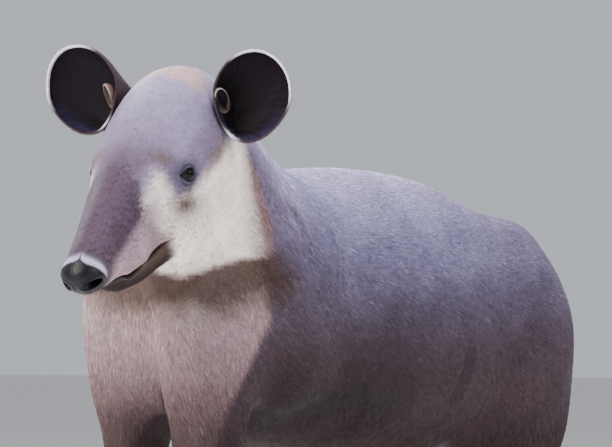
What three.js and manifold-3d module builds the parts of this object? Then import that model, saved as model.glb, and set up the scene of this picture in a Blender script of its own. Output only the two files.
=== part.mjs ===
// A Baird's tapir, a young adult, as a life-size standing model.
// It stands on all fours with its left foreleg forward, its neck raised and bent a little to its left.
// Millimetres. The animal faces -Y, its left side is +X and the floor is z = 0.
// Every part of the body is an elliptical tube or an ellipsoid, and one smooth blend of them is the skin.
// The skin is meshed part by part and parted by thin flat cuts into the pieces that a person would name.
import * as THREE from 'three';
import { mergeVertices } from 'three/addons/utils/BufferGeometryUtils.js';
import Module from 'manifold-3d';

const wasm = await Module();
wasm.setup();
const V = (x, y, z) => new THREE.Vector3(x, y, z);

// Gaps between pieces that touch
const GAP = 0.3;
const SOCKET_GAP = 0.4;

// Corners closer than this become one
const WELD = 0.05;

// Trunk, seen from the side: distance behind the forelegs, back line, belly line, half width
const TRUNK = [
  [-112, 715, 470, 114],
  [-46, 768, 420, 158],
  [50, 792, 372, 184],
  [180, 796, 342, 206],
  [350, 808, 328, 224],
  [520, 802, 328, 224],
  [640, 760, 352, 212],
  [742, 686, 420, 188],
  [828, 612, 476, 144],
];
const TRUNK_CAP = 56;

// Neck, from the head to the trunk: middle line x, y, z, half width, half depth
const NECK = [
  [84, -222, 833, 84, 104],
  [64, -160, 787, 104, 122],
  [30, -78, 723, 134, 146],
  [6, 20, 655, 152, 158],
];
const NECK_CAP = 60;

// Head: the middle between the eyes, its turn to the left, its pitch down along the line from eyes to nose,
// and its roll
const HEAD_PLACE = new THREE.Vector3(100, -338, 781);
const HEAD_TURN = THREE.MathUtils.degToRad(9);
const HEAD_PITCH = THREE.MathUtils.degToRad(38);
const HEAD_ROLL = THREE.MathUtils.degToRad(2);

// Skull and snout in the head's own frame: distance ahead of the eyes, upper line, lower line, half width
const SKULL = [
  [256, 17, -34, 29],
  [228, 28, -47, 33],
  [180, 40, -60, 39],
  [120, 52, -70, 48],
  [60, 62, -76, 60],
  [0, 74, -84, 72],
  [-62, 86, -92, 78],
  [-128, 80, -90, 70],
  [-180, 44, -72, 54],
];
const SKULL_CAP = 14;

// Lower jaw: distance ahead of the eyes, upper line, lower line, half width
const JAW = [
  [190, -50, -80, 18],
  [167, -50, -97, 27],
  [132, -50, -113, 36],
  [75, -56, -128, 44],
  [0, -60, -146, 56],
  [-60, -50, -148, 60],
];
const JAW_CAP = 12;

// Lumps of the upper head's left side, in the head's own frame: brow, cheek bone,
// the bulge that carries the eye, side of the snout
const BROW = { centre: [58, 30, 2], radii: [20, 62, 22], turn: [0, 0, -0.16] };
const CHEEK_BONE = { centre: [60, 66, -34], radii: [22, 66, 30], turn: [0, 0, 0.05] };
const ORBIT = { centre: [52, 6, -8], radii: [22, 34, 26] };
const SNOUT_SIDE = { centre: [28, -132, -48], radii: [19, 64, 20], turn: [0.1, 0, 0.13] };

// Pad at the tip of the nose, cheek, and the heavy back of the jaw
const NOSE_PAD = { centre: [0, -250, -10], radii: [34, 14, 24] };
const CHEEK = { centre: [46, -22, -78], radii: [24, 58, 42] };
const JOWL = { centre: [50, 10, -92], radii: [26, 66, 50], turn: [0.2, 0, 0] };

// Eyes: a point straight behind the left one, the way it faces, its ball, how far the ball stands out
// of the skin, and the opening of the lids
const EYE = {
  from: V(20, 10, -9),
  faces: V(1, -0.3, 0.12),
  radius: 15.5,
  proud: 1.2,
  width: 29,
  height: 20,
  tilt: -0.5,
};

// Nostrils, in the head's own frame
const NOSTRIL = { out: 22, ahead: 264, height: -10, radii: [10, 21, 6.5], turn: -0.25 };

// Forelegs: out from the middle, behind the leg's own place, height, half width, half depth
const FORELEG = [
  [100, 40, 680, 48, 96],
  [122, 10, 580, 64, 108],
  [132, 8, 480, 64, 100],
  [132, 8, 400, 53, 73],
  [130, 4, 325, 44, 56],
  [127, 0, 245, 40, 46],
  [125, 0, 165, 35, 38],
  [125, -6, 98, 37, 41],
  [125, -18, 48, 41, 48],
];

// Hind legs, in the same order
const HINDLEG = [
  [90, -6, 655, 70, 116],
  [112, -16, 575, 84, 148],
  [126, -34, 480, 84, 174],
  [132, -36, 405, 74, 168],
  [131, -22, 342, 60, 128],
  [127, 8, 286, 46, 80],
  [122, 44, 230, 38, 54],
  [119, 42, 162, 32, 40],
  [118, 24, 98, 35, 41],
  [118, 8, 48, 39, 47],
];
const LEG_CAP = 30;

// Where each leg stands: its side, how far from the middle, how far back, and how far its foot steps back
// from there
const LEGS = {
  fore_left: { rows: FORELEG, side: 1, spread: 0.73, behind: -156, step: -34 },
  fore_right: { rows: FORELEG, side: -1, spread: 1, behind: -34, step: -6 },
  hind_left: { rows: HINDLEG, side: 1, spread: 1, behind: 732, step: 10 },
  hind_right: { rows: HINDLEG, side: -1, spread: 1, behind: 722, step: -50 },
};

// Toes on the floor, for the left foot: outwards, forwards, turned out in degrees, size, height of the sole
const FORE_TOES = [
  [2, 44, 0, 1.0, 0],
  [-31, 22, -16, 0.88, 0],
  [34, 20, 18, 0.88, 0],
  [45, -20, 34, 0.62, 9],
];
const HIND_TOES = [
  [0, 46, 0, 1.0, 0],
  [-33, 21, -16, 0.86, 0],
  [33, 21, 16, 0.86, 0],
];
const HOOF = { halfWidth: 20, halfLength: 25, height: 40, lean: 14, sides: 12 };

// Flesh of a toe over its hoof, and the pad behind the toes
const TOE = { radii: [21, 30, 27], back: 14, up: 30, lean: 0.25, soft: 12 };
const PAD = { ahead: -2, radii: [32, 36, 30], height: 22, clear: 2, soft: 20 };

// Half profile of a hoof, from the sole to the coronet: share of its half width, share of its height
const HOOF_PROFILE = [
  [0, 0],
  [0.94, 0],
  [1, 0.12],
  [0.86, 0.62],
  [0.66, 0.92],
  [0, 1],
].map(([out, up]) => new THREE.Vector2(out, up));

// Where the legs part from the trunk: a slanting cut, from ahead of the leg's place to behind it
const FORE_WEDGE = { ahead: 226, back: 146, inner: 34, low: 378, outer: 330, high: 575 };
const HIND_WEDGE = { ahead: 212, back: 368, inner: 34, low: 380, outer: 330, high: 600 };

// Tail, a stub on the rump: middle line x, y, z, half width, half depth
const TAIL = [
  [0, 820, 622, 34, 30],
  [0, 896, 612, 26, 22],
  [0, 934, 578, 20, 16],
  [0, 948, 532, 13, 10],
];
const TAIL_CAP = 10;

// Shoulders, haunches and chest of the left side, and the back, which all lie over the trunk
const SHOULDER = { centre: [122, -16, 590], radii: [68, 112, 160], turn: [0.16, 0, 0] };
const HAUNCH = { centre: [122, 690, 532], radii: [86, 172, 152], turn: [-0.12, 0, 0] };
const CHEST = { centre: [62, -108, 545], radii: [70, 56, 104], turn: [0.1, 0, 0.2] };
const BACK = { centre: [0, 320, 722], radii: [90, 300, 74] };

// Ears, in the head's own frame: middle of the rim, root, way the rim's long axis points, way the cup faces
const EARS = {
  left: {
    middle: V(134, 142, 36),
    root: V(58, 152, -18),
    long: V(0.2, 0.5, 0.84),
    faces: V(0.24, -0.78, 0.57),
  },
  right: {
    middle: V(-144, 138, 50),
    root: V(-58, 156, -20),
    long: V(-0.39, 0.42, 0.82),
    faces: V(0, -0.8, 0.6),
  },
};

// Ear cup: wall, depth and rings from in front of the rim back to the root
// (share of the way, half width, half length), and the lobe in front of its canal
const EAR = {
  wall: 4,
  depth: 42,
  sides: 22,
  taper: 0.16,
  curl: -3,
  rings: [
    [-0.04, 60, 71],
    [0, 60, 71],
    [0.12, 58.5, 69],
    [0.3, 52, 61],
    [0.5, 42, 50],
    [0.72, 31, 37],
    [1, 22, 26],
    [1.03, 22, 26],
  ],
  lobe: { radii: [13, 12, 26], share: 0.5, ahead: 10, lean: 0.5, turn: 0.35 },
};

// Blending distances, from the neck's to the nose pad's
const SOFT = 70;
const MUSCLE = 60;
const HEAD_JOIN = 46;
const LEG_JOIN = 40;
const FIRM = 34;
const TAIL_JOIN = 26;
const RIDGE = 24;
const LIP = 18;
const PAD_JOIN = 12;

// Mesh cells, coarse on the barrel and fine on the face
const CELL = { trunk: 43, neck: 29, head: 17.5, snout: 13, jaw: 11, leg: 27.5, tail: 12 };

// Coat, skin and horn
const COAT = {
  dark: { colour: 0x4b3f3f, roughness: 0.85 },
  neck: { colour: 0x7c6a5e, roughness: 0.85 },
  face: { colour: 0x8d7a6c, roughness: 0.85 },
  snout: { colour: 0x6f5a55, roughness: 0.8 },
  lip: { colour: 0x5d4638, roughness: 0.75 },
  ear: { colour: 0x2a2325, roughness: 0.85 },
  eye: { colour: 0x120d0c, roughness: 0.12 },
  leg: { colour: 0x463a38, roughness: 0.85 },
  hoof: { colour: 0x2e2825, roughness: 0.5 },
};

const catmull = (points) => new THREE.CatmullRomCurve3(points, false, 'catmullrom', 0.5);

// A tube of elliptical sections on a smooth line.
// Rows hold x, y, z, half width along x and half depth across it.
function tube(rows, cap, steps = 5) {
  const line = catmull(rows.map(([x, y, z]) => new THREE.Vector3(x, y, z)));
  const size = catmull(rows.map((r) => new THREE.Vector3(r[3], r[4], 0)));
  const count = (rows.length - 1) * steps;
  const links = [];
  for (let i = 0; i < count; i++) {
    const a = line.getPoint(i / count);
    const b = line.getPoint((i + 1) / count);
    const along = b.clone().sub(a);
    links.push({
      a,
      along,
      lengthSq: along.lengthSq(),
      unit: along.clone().normalize(),
      from: size.getPoint(i / count),
      to: size.getPoint((i + 1) / count),
      first: i === 0,
      last: i === count - 1,
    });
  }
  const reach = Math.max(...rows.flatMap((r) => [r[3], r[4]]));
  const box = new THREE.Box3().setFromPoints(links.flatMap((l) => [l.a, l.a.clone().add(l.along)]));
  box.expandByScalar(reach);
  const distance = (p) => {
    let nearest = Infinity;
    for (const l of links) {
      const px = p.x - l.a.x;
      const py = p.y - l.a.y;
      const pz = p.z - l.a.z;
      const raw = (px * l.along.x + py * l.along.y + pz * l.along.z) / l.lengthSq;
      const share = Math.min(1, Math.max(0, raw));
      const qx = px - l.along.x * share;
      const qy = py - l.along.y * share;
      const qz = pz - l.along.z * share;
      const lengthSq = qx * qx + qy * qy + qz * qz;
      const end = qx * l.unit.x + qy * l.unit.y + qz * l.unit.z;
      const across = Math.max(0, lengthSq - end * end - qx * qx);
      const width = l.from.x + (l.to.x - l.from.x) * share;
      const depth = l.from.y + (l.to.y - l.from.y) * share;
      const atEnd = (l.first && raw < 0) || (l.last && raw > 1);
      const endSize = atEnd ? cap : (width + depth) / 2;
      const k = Math.hypot(qx / width, Math.sqrt(across) / depth, end / endSize);
      const d = k < 1e-6 ? -Math.min(width, depth) : Math.sqrt(lengthSq) * (1 - 1 / k);
      nearest = Math.min(nearest, d);
    }
    return nearest;
  };
  return { box, distance };
}

// An ellipsoid turned by three angles
function ellipsoid({ centre, radii, turn = [0, 0, 0] }) {
  const c = new THREE.Vector3(...centre);
  const back = new THREE.Matrix3().setFromMatrix4(
    new THREE.Matrix4().makeRotationFromEuler(new THREE.Euler(...turn)).invert(),
  );
  const box = new THREE.Box3().setFromCenterAndSize(c, new THREE.Vector3().setScalar(2 * Math.max(...radii)));
  const q = new THREE.Vector3();
  const distance = (p) => {
    q.copy(p).sub(c).applyMatrix3(back);
    const k = Math.hypot(q.x / radii[0], q.y / radii[1], q.z / radii[2]);
    const slope = Math.hypot(q.x / radii[0] ** 2, q.y / radii[1] ** 2, q.z / radii[2] ** 2);
    return slope < 1e-9 ? -Math.min(...radii) : (k * (k - 1)) / slope;
  };
  return { box, distance };
}

// A shape seen at a mirrored point, so that it stands on both sides
function bothSides(shape) {
  const box = shape.box.clone();
  box.union(new THREE.Box3(
    new THREE.Vector3(-box.max.x, box.min.y, box.min.z),
    new THREE.Vector3(-box.min.x, box.max.y, box.max.z),
  ));
  const q = new THREE.Vector3();
  return { box, distance: (p) => shape.distance(q.set(Math.abs(p.x), p.y, p.z)) };
}

// Smooth union of shapes, each with the distance over which it blends into those before it
function blend(parts) {
  const box = new THREE.Box3();
  parts.forEach(([shape]) => box.union(shape.box));
  const distance = (p) => {
    let d = Infinity;
    for (const [shape, soft] of parts) {
      if (shape.box.distanceToPoint(p) > d + soft) continue;
      const other = shape.distance(p);
      if (d === Infinity) {
        d = other;
        continue;
      }
      const h = Math.max(soft - Math.abs(d - other), 0) / soft;
      d = Math.min(d, other) - (h * h * soft) / 4;
    }
    return d;
  };
  return { box, distance };
}

// Rows of a side profile turned into rows of a tube
const fromProfile = (rows) => rows.map(([y, top, bottom, width]) => (
  [0, y, (top + bottom) / 2, width, (top - bottom) / 2]));

// The head's own frame has the eyes at its origin, the nose towards -Y and the crown towards +Z
const headFrame = new THREE.Matrix4()
  .makeRotationFromEuler(new THREE.Euler(HEAD_PITCH, HEAD_ROLL, HEAD_TURN, 'ZXY'))
  .setPosition(HEAD_PLACE);
const headFrameBack = headFrame.clone().invert();

const forwardRows = (rows) => fromProfile(rows.map(([ahead, ...rest]) => [-ahead, ...rest]));

// Upper head: skull and snout with their lumps, and the pad of the nose
const upperHead = blend([
  [tube(forwardRows(SKULL), SKULL_CAP), 0],
  [bothSides(ellipsoid(BROW)), FIRM],
  [bothSides(ellipsoid(CHEEK_BONE)), FIRM],
  [bothSides(ellipsoid(ORBIT)), RIDGE],
  [bothSides(ellipsoid(SNOUT_SIDE)), RIDGE],
  [ellipsoid(NOSE_PAD), PAD_JOIN],
]);
const lowerJaw = blend([
  [tube(forwardRows(JAW), JAW_CAP), 0],
  [bothSides(ellipsoid(JOWL)), FIRM],
]);
const headInFrame = blend([
  [upperHead, 0],
  [lowerJaw, LIP],
  [bothSides(ellipsoid(CHEEK)), FIRM],
]);

// A shape of the head's own frame, placed in the body's
function inHeadFrame(shape) {
  const q = new THREE.Vector3();
  return {
    box: shape.box.clone().applyMatrix4(headFrame),
    distance: (p) => shape.distance(q.copy(p).applyMatrix4(headFrameBack)),
  };
}

// A leg's rows: the foot end steps forward or back, more the nearer it is to the floor
function legRows({ rows, side, spread, behind, step }) {
  const top = rows[0][2];
  return rows.map(([out, y, z, width, depth]) => (
    [side * spread * out, y + behind + step * (1 - z / top), z, width, depth]));
}

// Middle of a foot on the floor
function footOf(leg) {
  const [x, y] = legRows(leg).at(-1);
  return new THREE.Vector3(x, y, 0);
}

const toesOf = (leg) => (leg.rows === FORELEG ? FORE_TOES : HIND_TOES);

// A toe's place, heading and size on the floor
function toePlace(leg, [out, ahead, turn, size, raised]) {
  const foot = footOf(leg);
  return {
    at: new THREE.Vector3(foot.x + leg.side * out, foot.y - ahead, raised),
    heading: THREE.MathUtils.degToRad(turn) * leg.side,
    size,
  };
}

function legShape(leg) {
  const foot = footOf(leg);
  const parts = [
    [tube(legRows(leg), LEG_CAP), 0],
    [ellipsoid({ centre: [foot.x, foot.y - PAD.ahead, PAD.height], radii: PAD.radii }), PAD.soft],
  ];
  for (const toe of toesOf(leg)) {
    const { at, heading, size } = toePlace(leg, toe);
    const back = V(0, TOE.back * size, 0).applyAxisAngle(V(0, 0, 1), heading);
    const centre = [at.x + back.x, at.y + back.y, at.z + TOE.up * size];
    const radii = TOE.radii.map((r) => r * size);
    parts.push([ellipsoid({ centre, radii, turn: [TOE.lean, 0, heading] }), TOE.soft]);
  }
  return blend(parts);
}

const skin = blend([
  [tube(fromProfile(TRUNK), TRUNK_CAP), 0],
  [bothSides(ellipsoid(SHOULDER)), MUSCLE],
  [bothSides(ellipsoid(HAUNCH)), MUSCLE],
  [bothSides(ellipsoid(CHEST)), MUSCLE],
  [ellipsoid(BACK), MUSCLE],
  [tube(NECK, NECK_CAP), SOFT],
  [inHeadFrame(headInFrame), HEAD_JOIN],
  ...Object.values(LEGS).map((leg) => [legShape(leg), LEG_JOIN]),
  [tube(TAIL, TAIL_CAP), TAIL_JOIN],
]);

// The zero surface of a field inside a box, as quads whose corners lie on it, cut into triangles
function surface(field, box, cell) {
  const size = box.getSize(new THREE.Vector3());
  const count = size.toArray().map((s) => Math.ceil(s / cell) + 1);
  const at = (c) => (c[2] * count[1] + c[1]) * count[0] + c[0];
  const place = (c) => new THREE.Vector3(...c).multiplyScalar(cell).add(box.min);
  const everyCell = (visit) => {
    for (let k = 0; k < count[2]; k++) {
      for (let j = 0; j < count[1]; j++) {
        for (let i = 0; i < count[0]; i++) visit([i, j, k]);
      }
    }
  };
  const values = new Float64Array(count[0] * count[1] * count[2]);
  everyCell((c) => {
    const onEdge = c.some((n, axis) => n === 0 || n === count[axis] - 1);
    const d = field(place(c));
    values[at(c)] = onEdge ? Math.max(d, cell / 2) : d;
  });
  const corners = [];
  const cellCorner = new Int32Array(values.length).fill(-1);
  everyCell((c) => {
    if (c.some((n, axis) => n === count[axis] - 1)) return;
    const sum = new THREE.Vector3();
    let crossings = 0;
    for (let axis = 0; axis < 3; axis++) {
      for (let n = 0; n < 4; n++) {
        const from = [...c];
        from[(axis + 1) % 3] += n & 1;
        from[(axis + 2) % 3] += n >> 1;
        const to = [...from];
        to[axis] += 1;
        const [inner, outer] = [values[at(from)], values[at(to)]];
        if (inner < 0 === outer < 0) continue;
        from[axis] += inner / (inner - outer);
        sum.add(place(from));
        crossings++;
      }
    }
    if (!crossings) return;
    cellCorner[at(c)] = corners.length;
    corners.push(sum.divideScalar(crossings));
  });
  const quads = [];
  everyCell((c) => {
    for (let axis = 0; axis < 3; axis++) {
      const next = [...c];
      next[axis] += 1;
      if (next[axis] === count[axis]) continue;
      const inside = values[at(c)] < 0;
      if (inside === values[at(next)] < 0) continue;
      const around = [[0, 0], [1, 0], [1, 1], [0, 1]].map(([s, t]) => {
        const near = [...c];
        near[(axis + 1) % 3] -= s;
        near[(axis + 2) % 3] -= t;
        return cellCorner[at(near)];
      });
      quads.push(inside ? around : around.reverse());
    }
  });
  settle(corners, quads, field, cell);
  const triangles = quads.flatMap(([a, b, c, d]) => (
    corners[a].distanceToSquared(corners[c]) < corners[b].distanceToSquared(corners[d])
      ? [a, b, c, a, c, d]
      : [a, b, d, b, c, d]));
  return { corners, triangles };
}

// The way out of the skin at a point
function outward(field, p, step = 1) {
  const q = new THREE.Vector3();
  const slope = (x, y, z) => (
    field(q.set(p.x + x, p.y + y, p.z + z)) - field(q.set(p.x - x, p.y - y, p.z - z)));
  return new THREE.Vector3(slope(step, 0, 0), slope(0, step, 0), slope(0, 0, step)).divideScalar(2 * step);
}

// Evens the corners out along the surface and puts them back on it
function settle(corners, quads, field, cell) {
  const neighbours = corners.map(() => new Set());
  quads.forEach((q) => q.forEach((a, i) => {
    neighbours[a].add(q[(i + 1) % 4]);
    neighbours[a].add(q[(i + 3) % 4]);
  }));
  const onSkin = corners.map((c) => Math.abs(field(c)) < cell * 0.4);
  for (let round = 0; round < 4; round++) {
    const moved = corners.map((c, i) => {
      if (!onSkin[i]) return c;
      const mean = new THREE.Vector3();
      neighbours[i].forEach((n) => mean.add(corners[n]));
      return c.clone().lerp(mean.divideScalar(neighbours[i].size), round < 3 ? 0.5 : 0);
    });
    moved.forEach((c, i) => {
      if (!onSkin[i]) return;
      for (let n = 0; n < 2; n++) {
        const slope = outward(field, c);
        const shift = field(c) / Math.max(slope.lengthSq(), 0.2);
        c.addScaledVector(slope, -THREE.MathUtils.clamp(shift, -cell / 2, cell / 2));
      }
      corners[i] = c;
    });
  }
}

// Corners and triangles as a solid
function solidOf({ corners, triangles }) {
  return new wasm.Manifold(new wasm.Mesh({
    numProp: 3,
    vertProperties: new Float32Array(corners.flatMap((c) => c.toArray())),
    triVerts: new Uint32Array(triangles),
  }));
}

// A three.js geometry as a solid that faces outwards
function solidOfGeometry(geometry, matrix = new THREE.Matrix4(), weld = 1e-3) {
  const bare = geometry.clone().applyMatrix4(matrix);
  bare.deleteAttribute('normal');
  bare.deleteAttribute('uv');
  const merged = mergeVertices(bare, weld);
  const corners = [];
  for (let i = 0; i < merged.attributes.position.count; i++) {
    corners.push(new THREE.Vector3().fromBufferAttribute(merged.attributes.position, i));
  }
  const triangles = [];
  for (let i = 0; i < merged.index.count; i += 3) {
    const [a, b, c] = merged.index.array.slice(i, i + 3);
    if (a !== b && b !== c && c !== a) triangles.push(a, b, c);
  }
  const solid = solidOf({ corners, triangles });
  return solid.volume() > 0 ? solid : solidOf({ corners, triangles: [...triangles].reverse() });
}

const largest = (solid) => solid.decompose().reduce((a, b) => (a.volume() > b.volume() ? a : b));
const headPoint = (x, ahead, z) => V(x, -ahead, z).applyMatrix4(headFrame);
const headWay = (x, ahead, z) => V(x, -ahead, z).transformDirection(headFrame);

// Parting planes, each with a point on it and the way towards the outer of its two pieces
const TAIL_CUT = { point: V(0, 912, 600), way: V(0, 1, 0) };
const NECK_CUT = { point: V(20, -112, 715), way: V(0.1, -0.8, 0.59).normalize() };
const HEAD_CUT = { point: headPoint(0, -85, -148), way: headWay(0, 0.8, 0.6) };
const SNOUT_CUT = { point: headPoint(0, 112, 0), way: headWay(0, 1, 0.12) };
const CORNER_CUT = { point: headPoint(0, 84, -66), way: headWay(0, 1, -0.15) };
const MOUTH_CUT = { point: headPoint(0, 150, -58), way: headWay(0, 0.085, -1) };
const flip = ({ point, way }) => ({ point, way: way.clone().negate() });

// Keeps what lies beyond every plane, standing off from each by half a gap
function keep(solid, ...planes) {
  return planes.reduce((s, { point, way }) => s.trimByPlane(way.toArray(), way.dot(point) + GAP / 2), solid);
}

// Takes away what lies beyond every plane, and half a gap more
function cutAway(solid, ...planes) {
  const box = solid.boundingBox();
  const size = box.max.map((m, axis) => m - box.min[axis] + 2);
  const middle = box.max.map((m, axis) => (m + box.min[axis]) / 2);
  const whole = solidOfGeometry(new THREE.BoxGeometry(...size).translate(...middle));
  return solid.subtract(planes.reduce(
    (s, { point, way }) => s.trimByPlane(way.toArray(), way.dot(point) - GAP / 2),
    whole,
  ));
}

// A block of the skin, meshed with its own cell size
function block(min, max, cell) {
  return solidOf(surface(skin.distance, new THREE.Box3(V(...min), V(...max)), cell));
}

const wedgeOf = (leg) => (leg.rows === FORELEG ? FORE_WEDGE : HIND_WEDGE);

// The wedge that holds a leg: it slants from the armpit or groin up to the outside of the shoulder or haunch
function legWedge(leg, grow = 0) {
  const { ahead, back, inner, low, outer, high } = wedgeOf(leg);
  const section = new THREE.Shape([
    new THREE.Vector2(inner - grow, -60),
    new THREE.Vector2(outer, -60),
    new THREE.Vector2(outer, high + grow),
    new THREE.Vector2(inner - grow, low + grow),
  ]);
  const depth = ahead + back + 2 * grow;
  const geometry = new THREE.ExtrudeGeometry(section, { depth, bevelEnabled: false });
  geometry.rotateX(Math.PI / 2).translate(0, leg.behind + back + grow, 0).scale(leg.side, 1, 1);
  return solidOfGeometry(geometry);
}

// Hoof: an oval lathe that leans back from its toe edge to the coronet
function hoofSolid(leg, toe, grow = 0) {
  const { at, heading, size } = toePlace(leg, toe);
  const height = HOOF.height * size + grow;
  const lean = new THREE.Matrix4().set(
    1, 0, 0, 0,
    0, 1, HOOF.lean / HOOF.height, 0,
    0, 0, 1, 0,
    0, 0, 0, 1,
  );
  const geometry = new THREE.LatheGeometry(HOOF_PROFILE, HOOF.sides)
    .rotateX(Math.PI / 2)
    .scale(HOOF.halfWidth * size + grow, HOOF.halfLength * size + grow, height)
    .applyMatrix4(lean)
    .rotateZ(heading)
    .translate(at.x, at.y, at.z);
  return solidOfGeometry(geometry);
}

// Where a straight line from inside the head comes out through the skin
function comesOut(from, way) {
  let reach = 0;
  for (let n = 0; n < 40; n++) {
    const d = headInFrame.distance(from.clone().addScaledVector(way, reach));
    reach -= d * 0.7;
  }
  return from.clone().addScaledVector(way, reach);
}

// Eye: a ball set behind the lids, with an almond opening in the skin over it
function eyeFrame(side) {
  const way = V(side * EYE.faces.x, EYE.faces.y, EYE.faces.z).normalize();
  const front = comesOut(V(side * EYE.from.x, EYE.from.y, EYE.from.z), way);
  const middle = front.clone().addScaledVector(way, EYE.proud - EYE.radius);
  const across = V(0, -1, 0).applyAxisAngle(V(side, 0, 0), side * EYE.tilt);
  across.addScaledVector(way, -across.dot(way)).normalize();
  const up = way.clone().cross(across).multiplyScalar(side);
  return new THREE.Matrix4().makeBasis(across, up, way).setPosition(middle).premultiply(headFrame);
}

const eyeBall = (side, grow = 0) => solidOfGeometry(
  new THREE.SphereGeometry(EYE.radius + grow, 16, 10).rotateX(Math.PI / 2),
  eyeFrame(side),
);

function eyeOpening(side) {
  const outline = new THREE.Shape();
  outline.moveTo(-EYE.width / 2, 0);
  outline.quadraticCurveTo(-EYE.width * 0.05, EYE.height * 0.98, EYE.width / 2, 0);
  outline.quadraticCurveTo(EYE.width * 0.05, -EYE.height * 0.98, -EYE.width / 2, 0);
  const depth = 3 * EYE.radius;
  const cutter = new THREE.ExtrudeGeometry(outline, { depth, bevelEnabled: false, curveSegments: 7 });
  return solidOfGeometry(cutter, eyeFrame(side));
}

// Ear: rings from the rim back to the root, the outer face grown and the inner face shrunk from the same rows
function earLoft(ear, grow, firstRing, lastRing) {
  const faces = ear.faces.clone().normalize();
  const long = ear.long.clone().addScaledVector(faces, -ear.long.dot(faces)).normalize();
  const wide = faces.clone().cross(long).negate().multiplyScalar(Math.sign(ear.middle.x));
  const path = new THREE.QuadraticBezierCurve3(
    ear.middle,
    ear.middle.clone().addScaledVector(faces, -EAR.depth),
    ear.root,
  );
  const rings = EAR.rings.slice(firstRing, lastRing);
  const corners = [];
  rings.forEach(([share, width, length], n) => {
    const centre = path.getPoint(Math.max(0, share));
    if (share < 0) centre.addScaledVector(faces, 3);
    for (let i = 0; i < EAR.sides; i++) {
      const turn = (2 * Math.PI * i) / EAR.sides;
      const narrow = 1 - EAR.taper * Math.max(0, -Math.sin(turn));
      const curl = EAR.curl * Math.cos(2 * turn) * (1 - share);
      corners.push(centre.clone()
        .addScaledVector(wide, (width + grow) * Math.cos(turn) * narrow)
        .addScaledVector(long, (length + grow) * Math.sin(turn))
        .addScaledVector(faces, curl));
    }
    if (n === 0 || n === rings.length - 1) rings[n].cap = centre;
  });
  const triangles = [];
  const ring = (n, i) => n * EAR.sides + (i % EAR.sides);
  for (let n = 0; n < rings.length - 1; n++) {
    for (let i = 0; i < EAR.sides; i++) {
      triangles.push(ring(n, i), ring(n, i + 1), ring(n + 1, i + 1));
      triangles.push(ring(n, i), ring(n + 1, i + 1), ring(n + 1, i));
    }
  }
  [0, rings.length - 1].forEach((n) => {
    const middle = corners.length;
    corners.push(rings[n].cap);
    for (let i = 0; i < EAR.sides; i++) {
      const edge = [ring(n, i), ring(n, i + 1)];
      triangles.push(middle, ...(n === 0 ? edge.reverse() : edge));
    }
  });
  corners.forEach((c) => c.applyMatrix4(headFrame));
  const solid = solidOf({ corners, triangles });
  return solid.volume() > 0 ? solid : solidOf({ corners, triangles: [...triangles].reverse() });
}

// The lobe in front of the ear's canal
function earLobe(ear, grow = 0) {
  const side = Math.sign(ear.middle.x);
  const { radii, share, ahead, lean, turn } = EAR.lobe;
  const lobe = new THREE.SphereGeometry(1, 12, 8).scale(...radii.map((r) => r + grow));
  lobe.rotateX(lean).rotateZ(side * turn);
  const place = ear.middle.clone().lerp(ear.root, share).addScaledVector(ear.faces, ahead);
  lobe.translate(place.x, place.y, place.z);
  return solidOfGeometry(lobe, headFrame);
}

const earSocket = (ear) => earLoft(ear, SOCKET_GAP, 1, EAR.rings.length).add(earLobe(ear, SOCKET_GAP));
const earCup = (ear) => earLoft(ear, 0, 1, -1).subtract(earLoft(ear, -EAR.wall, 0, -2));
const earSolid = (ear) => largest(earCup(ear).add(earLobe(ear)));

// Nostril: a short pit, open to the front and side of the nose pad
function nostril(side) {
  const pit = new THREE.SphereGeometry(1, 14, 10).scale(...NOSTRIL.radii);
  pit.rotateZ(side * NOSTRIL.turn).translate(side * NOSTRIL.out, -NOSTRIL.ahead, NOSTRIL.height);
  return solidOfGeometry(pit, headFrame);
}

// Head, meshed finest, and its pieces
const headBlock = block([-30, -600, 545], [240, -140, 975], CELL.head);
const snoutBlock = block([10, -600, 535], [200, -370, 785], CELL.snout);
const jawBlock = block([0, -560, 525], [210, -330, 745], CELL.jaw);
let head = keep(headBlock, HEAD_CUT, NECK_CUT);
head = cutAway(head, SNOUT_CUT, flip(MOUTH_CUT));
head = cutAway(head, CORNER_CUT, MOUTH_CUT);
let snout = keep(snoutBlock, SNOUT_CUT, flip(MOUTH_CUT));
const lowerJawSolid = keep(jawBlock, CORNER_CUT, MOUTH_CUT);
for (const side of [1, -1]) {
  head = head.subtract(eyeBall(side, GAP)).subtract(eyeOpening(side));
  snout = snout.subtract(nostril(side));
}
for (const ear of Object.values(EARS)) head = head.subtract(earSocket(ear));

// Trunk, neck and tail
const neck = keep(block([-190, -420, 475], [300, 60, 1015], CELL.neck), NECK_CUT, flip(HEAD_CUT));
const tail = keep(block([-60, 880, 490], [60, 985, 700], CELL.tail), TAIL_CUT);
let trunk = keep(block([-300, -260, 335], [300, 960, 915], CELL.trunk), flip(NECK_CUT), flip(TAIL_CUT));
for (const leg of Object.values(LEGS)) trunk = trunk.subtract(legWedge(leg, GAP));

// Legs with their hooves
function legSolid(leg) {
  const { ahead, back, outer, high } = wedgeOf(leg);
  const reach = leg.side * (outer - 40);
  const raw = block(
    [Math.min(-CELL.leg / 2, reach), leg.behind - ahead - 2 * CELL.leg, -2 * CELL.leg],
    [Math.max(CELL.leg / 2, reach), leg.behind + back + 2 * CELL.leg, high],
    CELL.leg,
  );
  let solid = raw.intersect(legWedge(leg)).trimByPlane([0, 0, 1], PAD.clear);
  for (const toe of toesOf(leg)) solid = solid.subtract(hoofSolid(leg, toe, GAP));
  return largest(solid);
}

const group = new THREE.Group();
function geometryOf(solid) {
  const mesh = solid.getMesh();
  const geometry = new THREE.BufferGeometry();
  geometry.setAttribute('position', new THREE.Float32BufferAttribute(mesh.vertProperties, mesh.numProp));
  geometry.setIndex([...mesh.triVerts]);
  return geometry;
}

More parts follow.
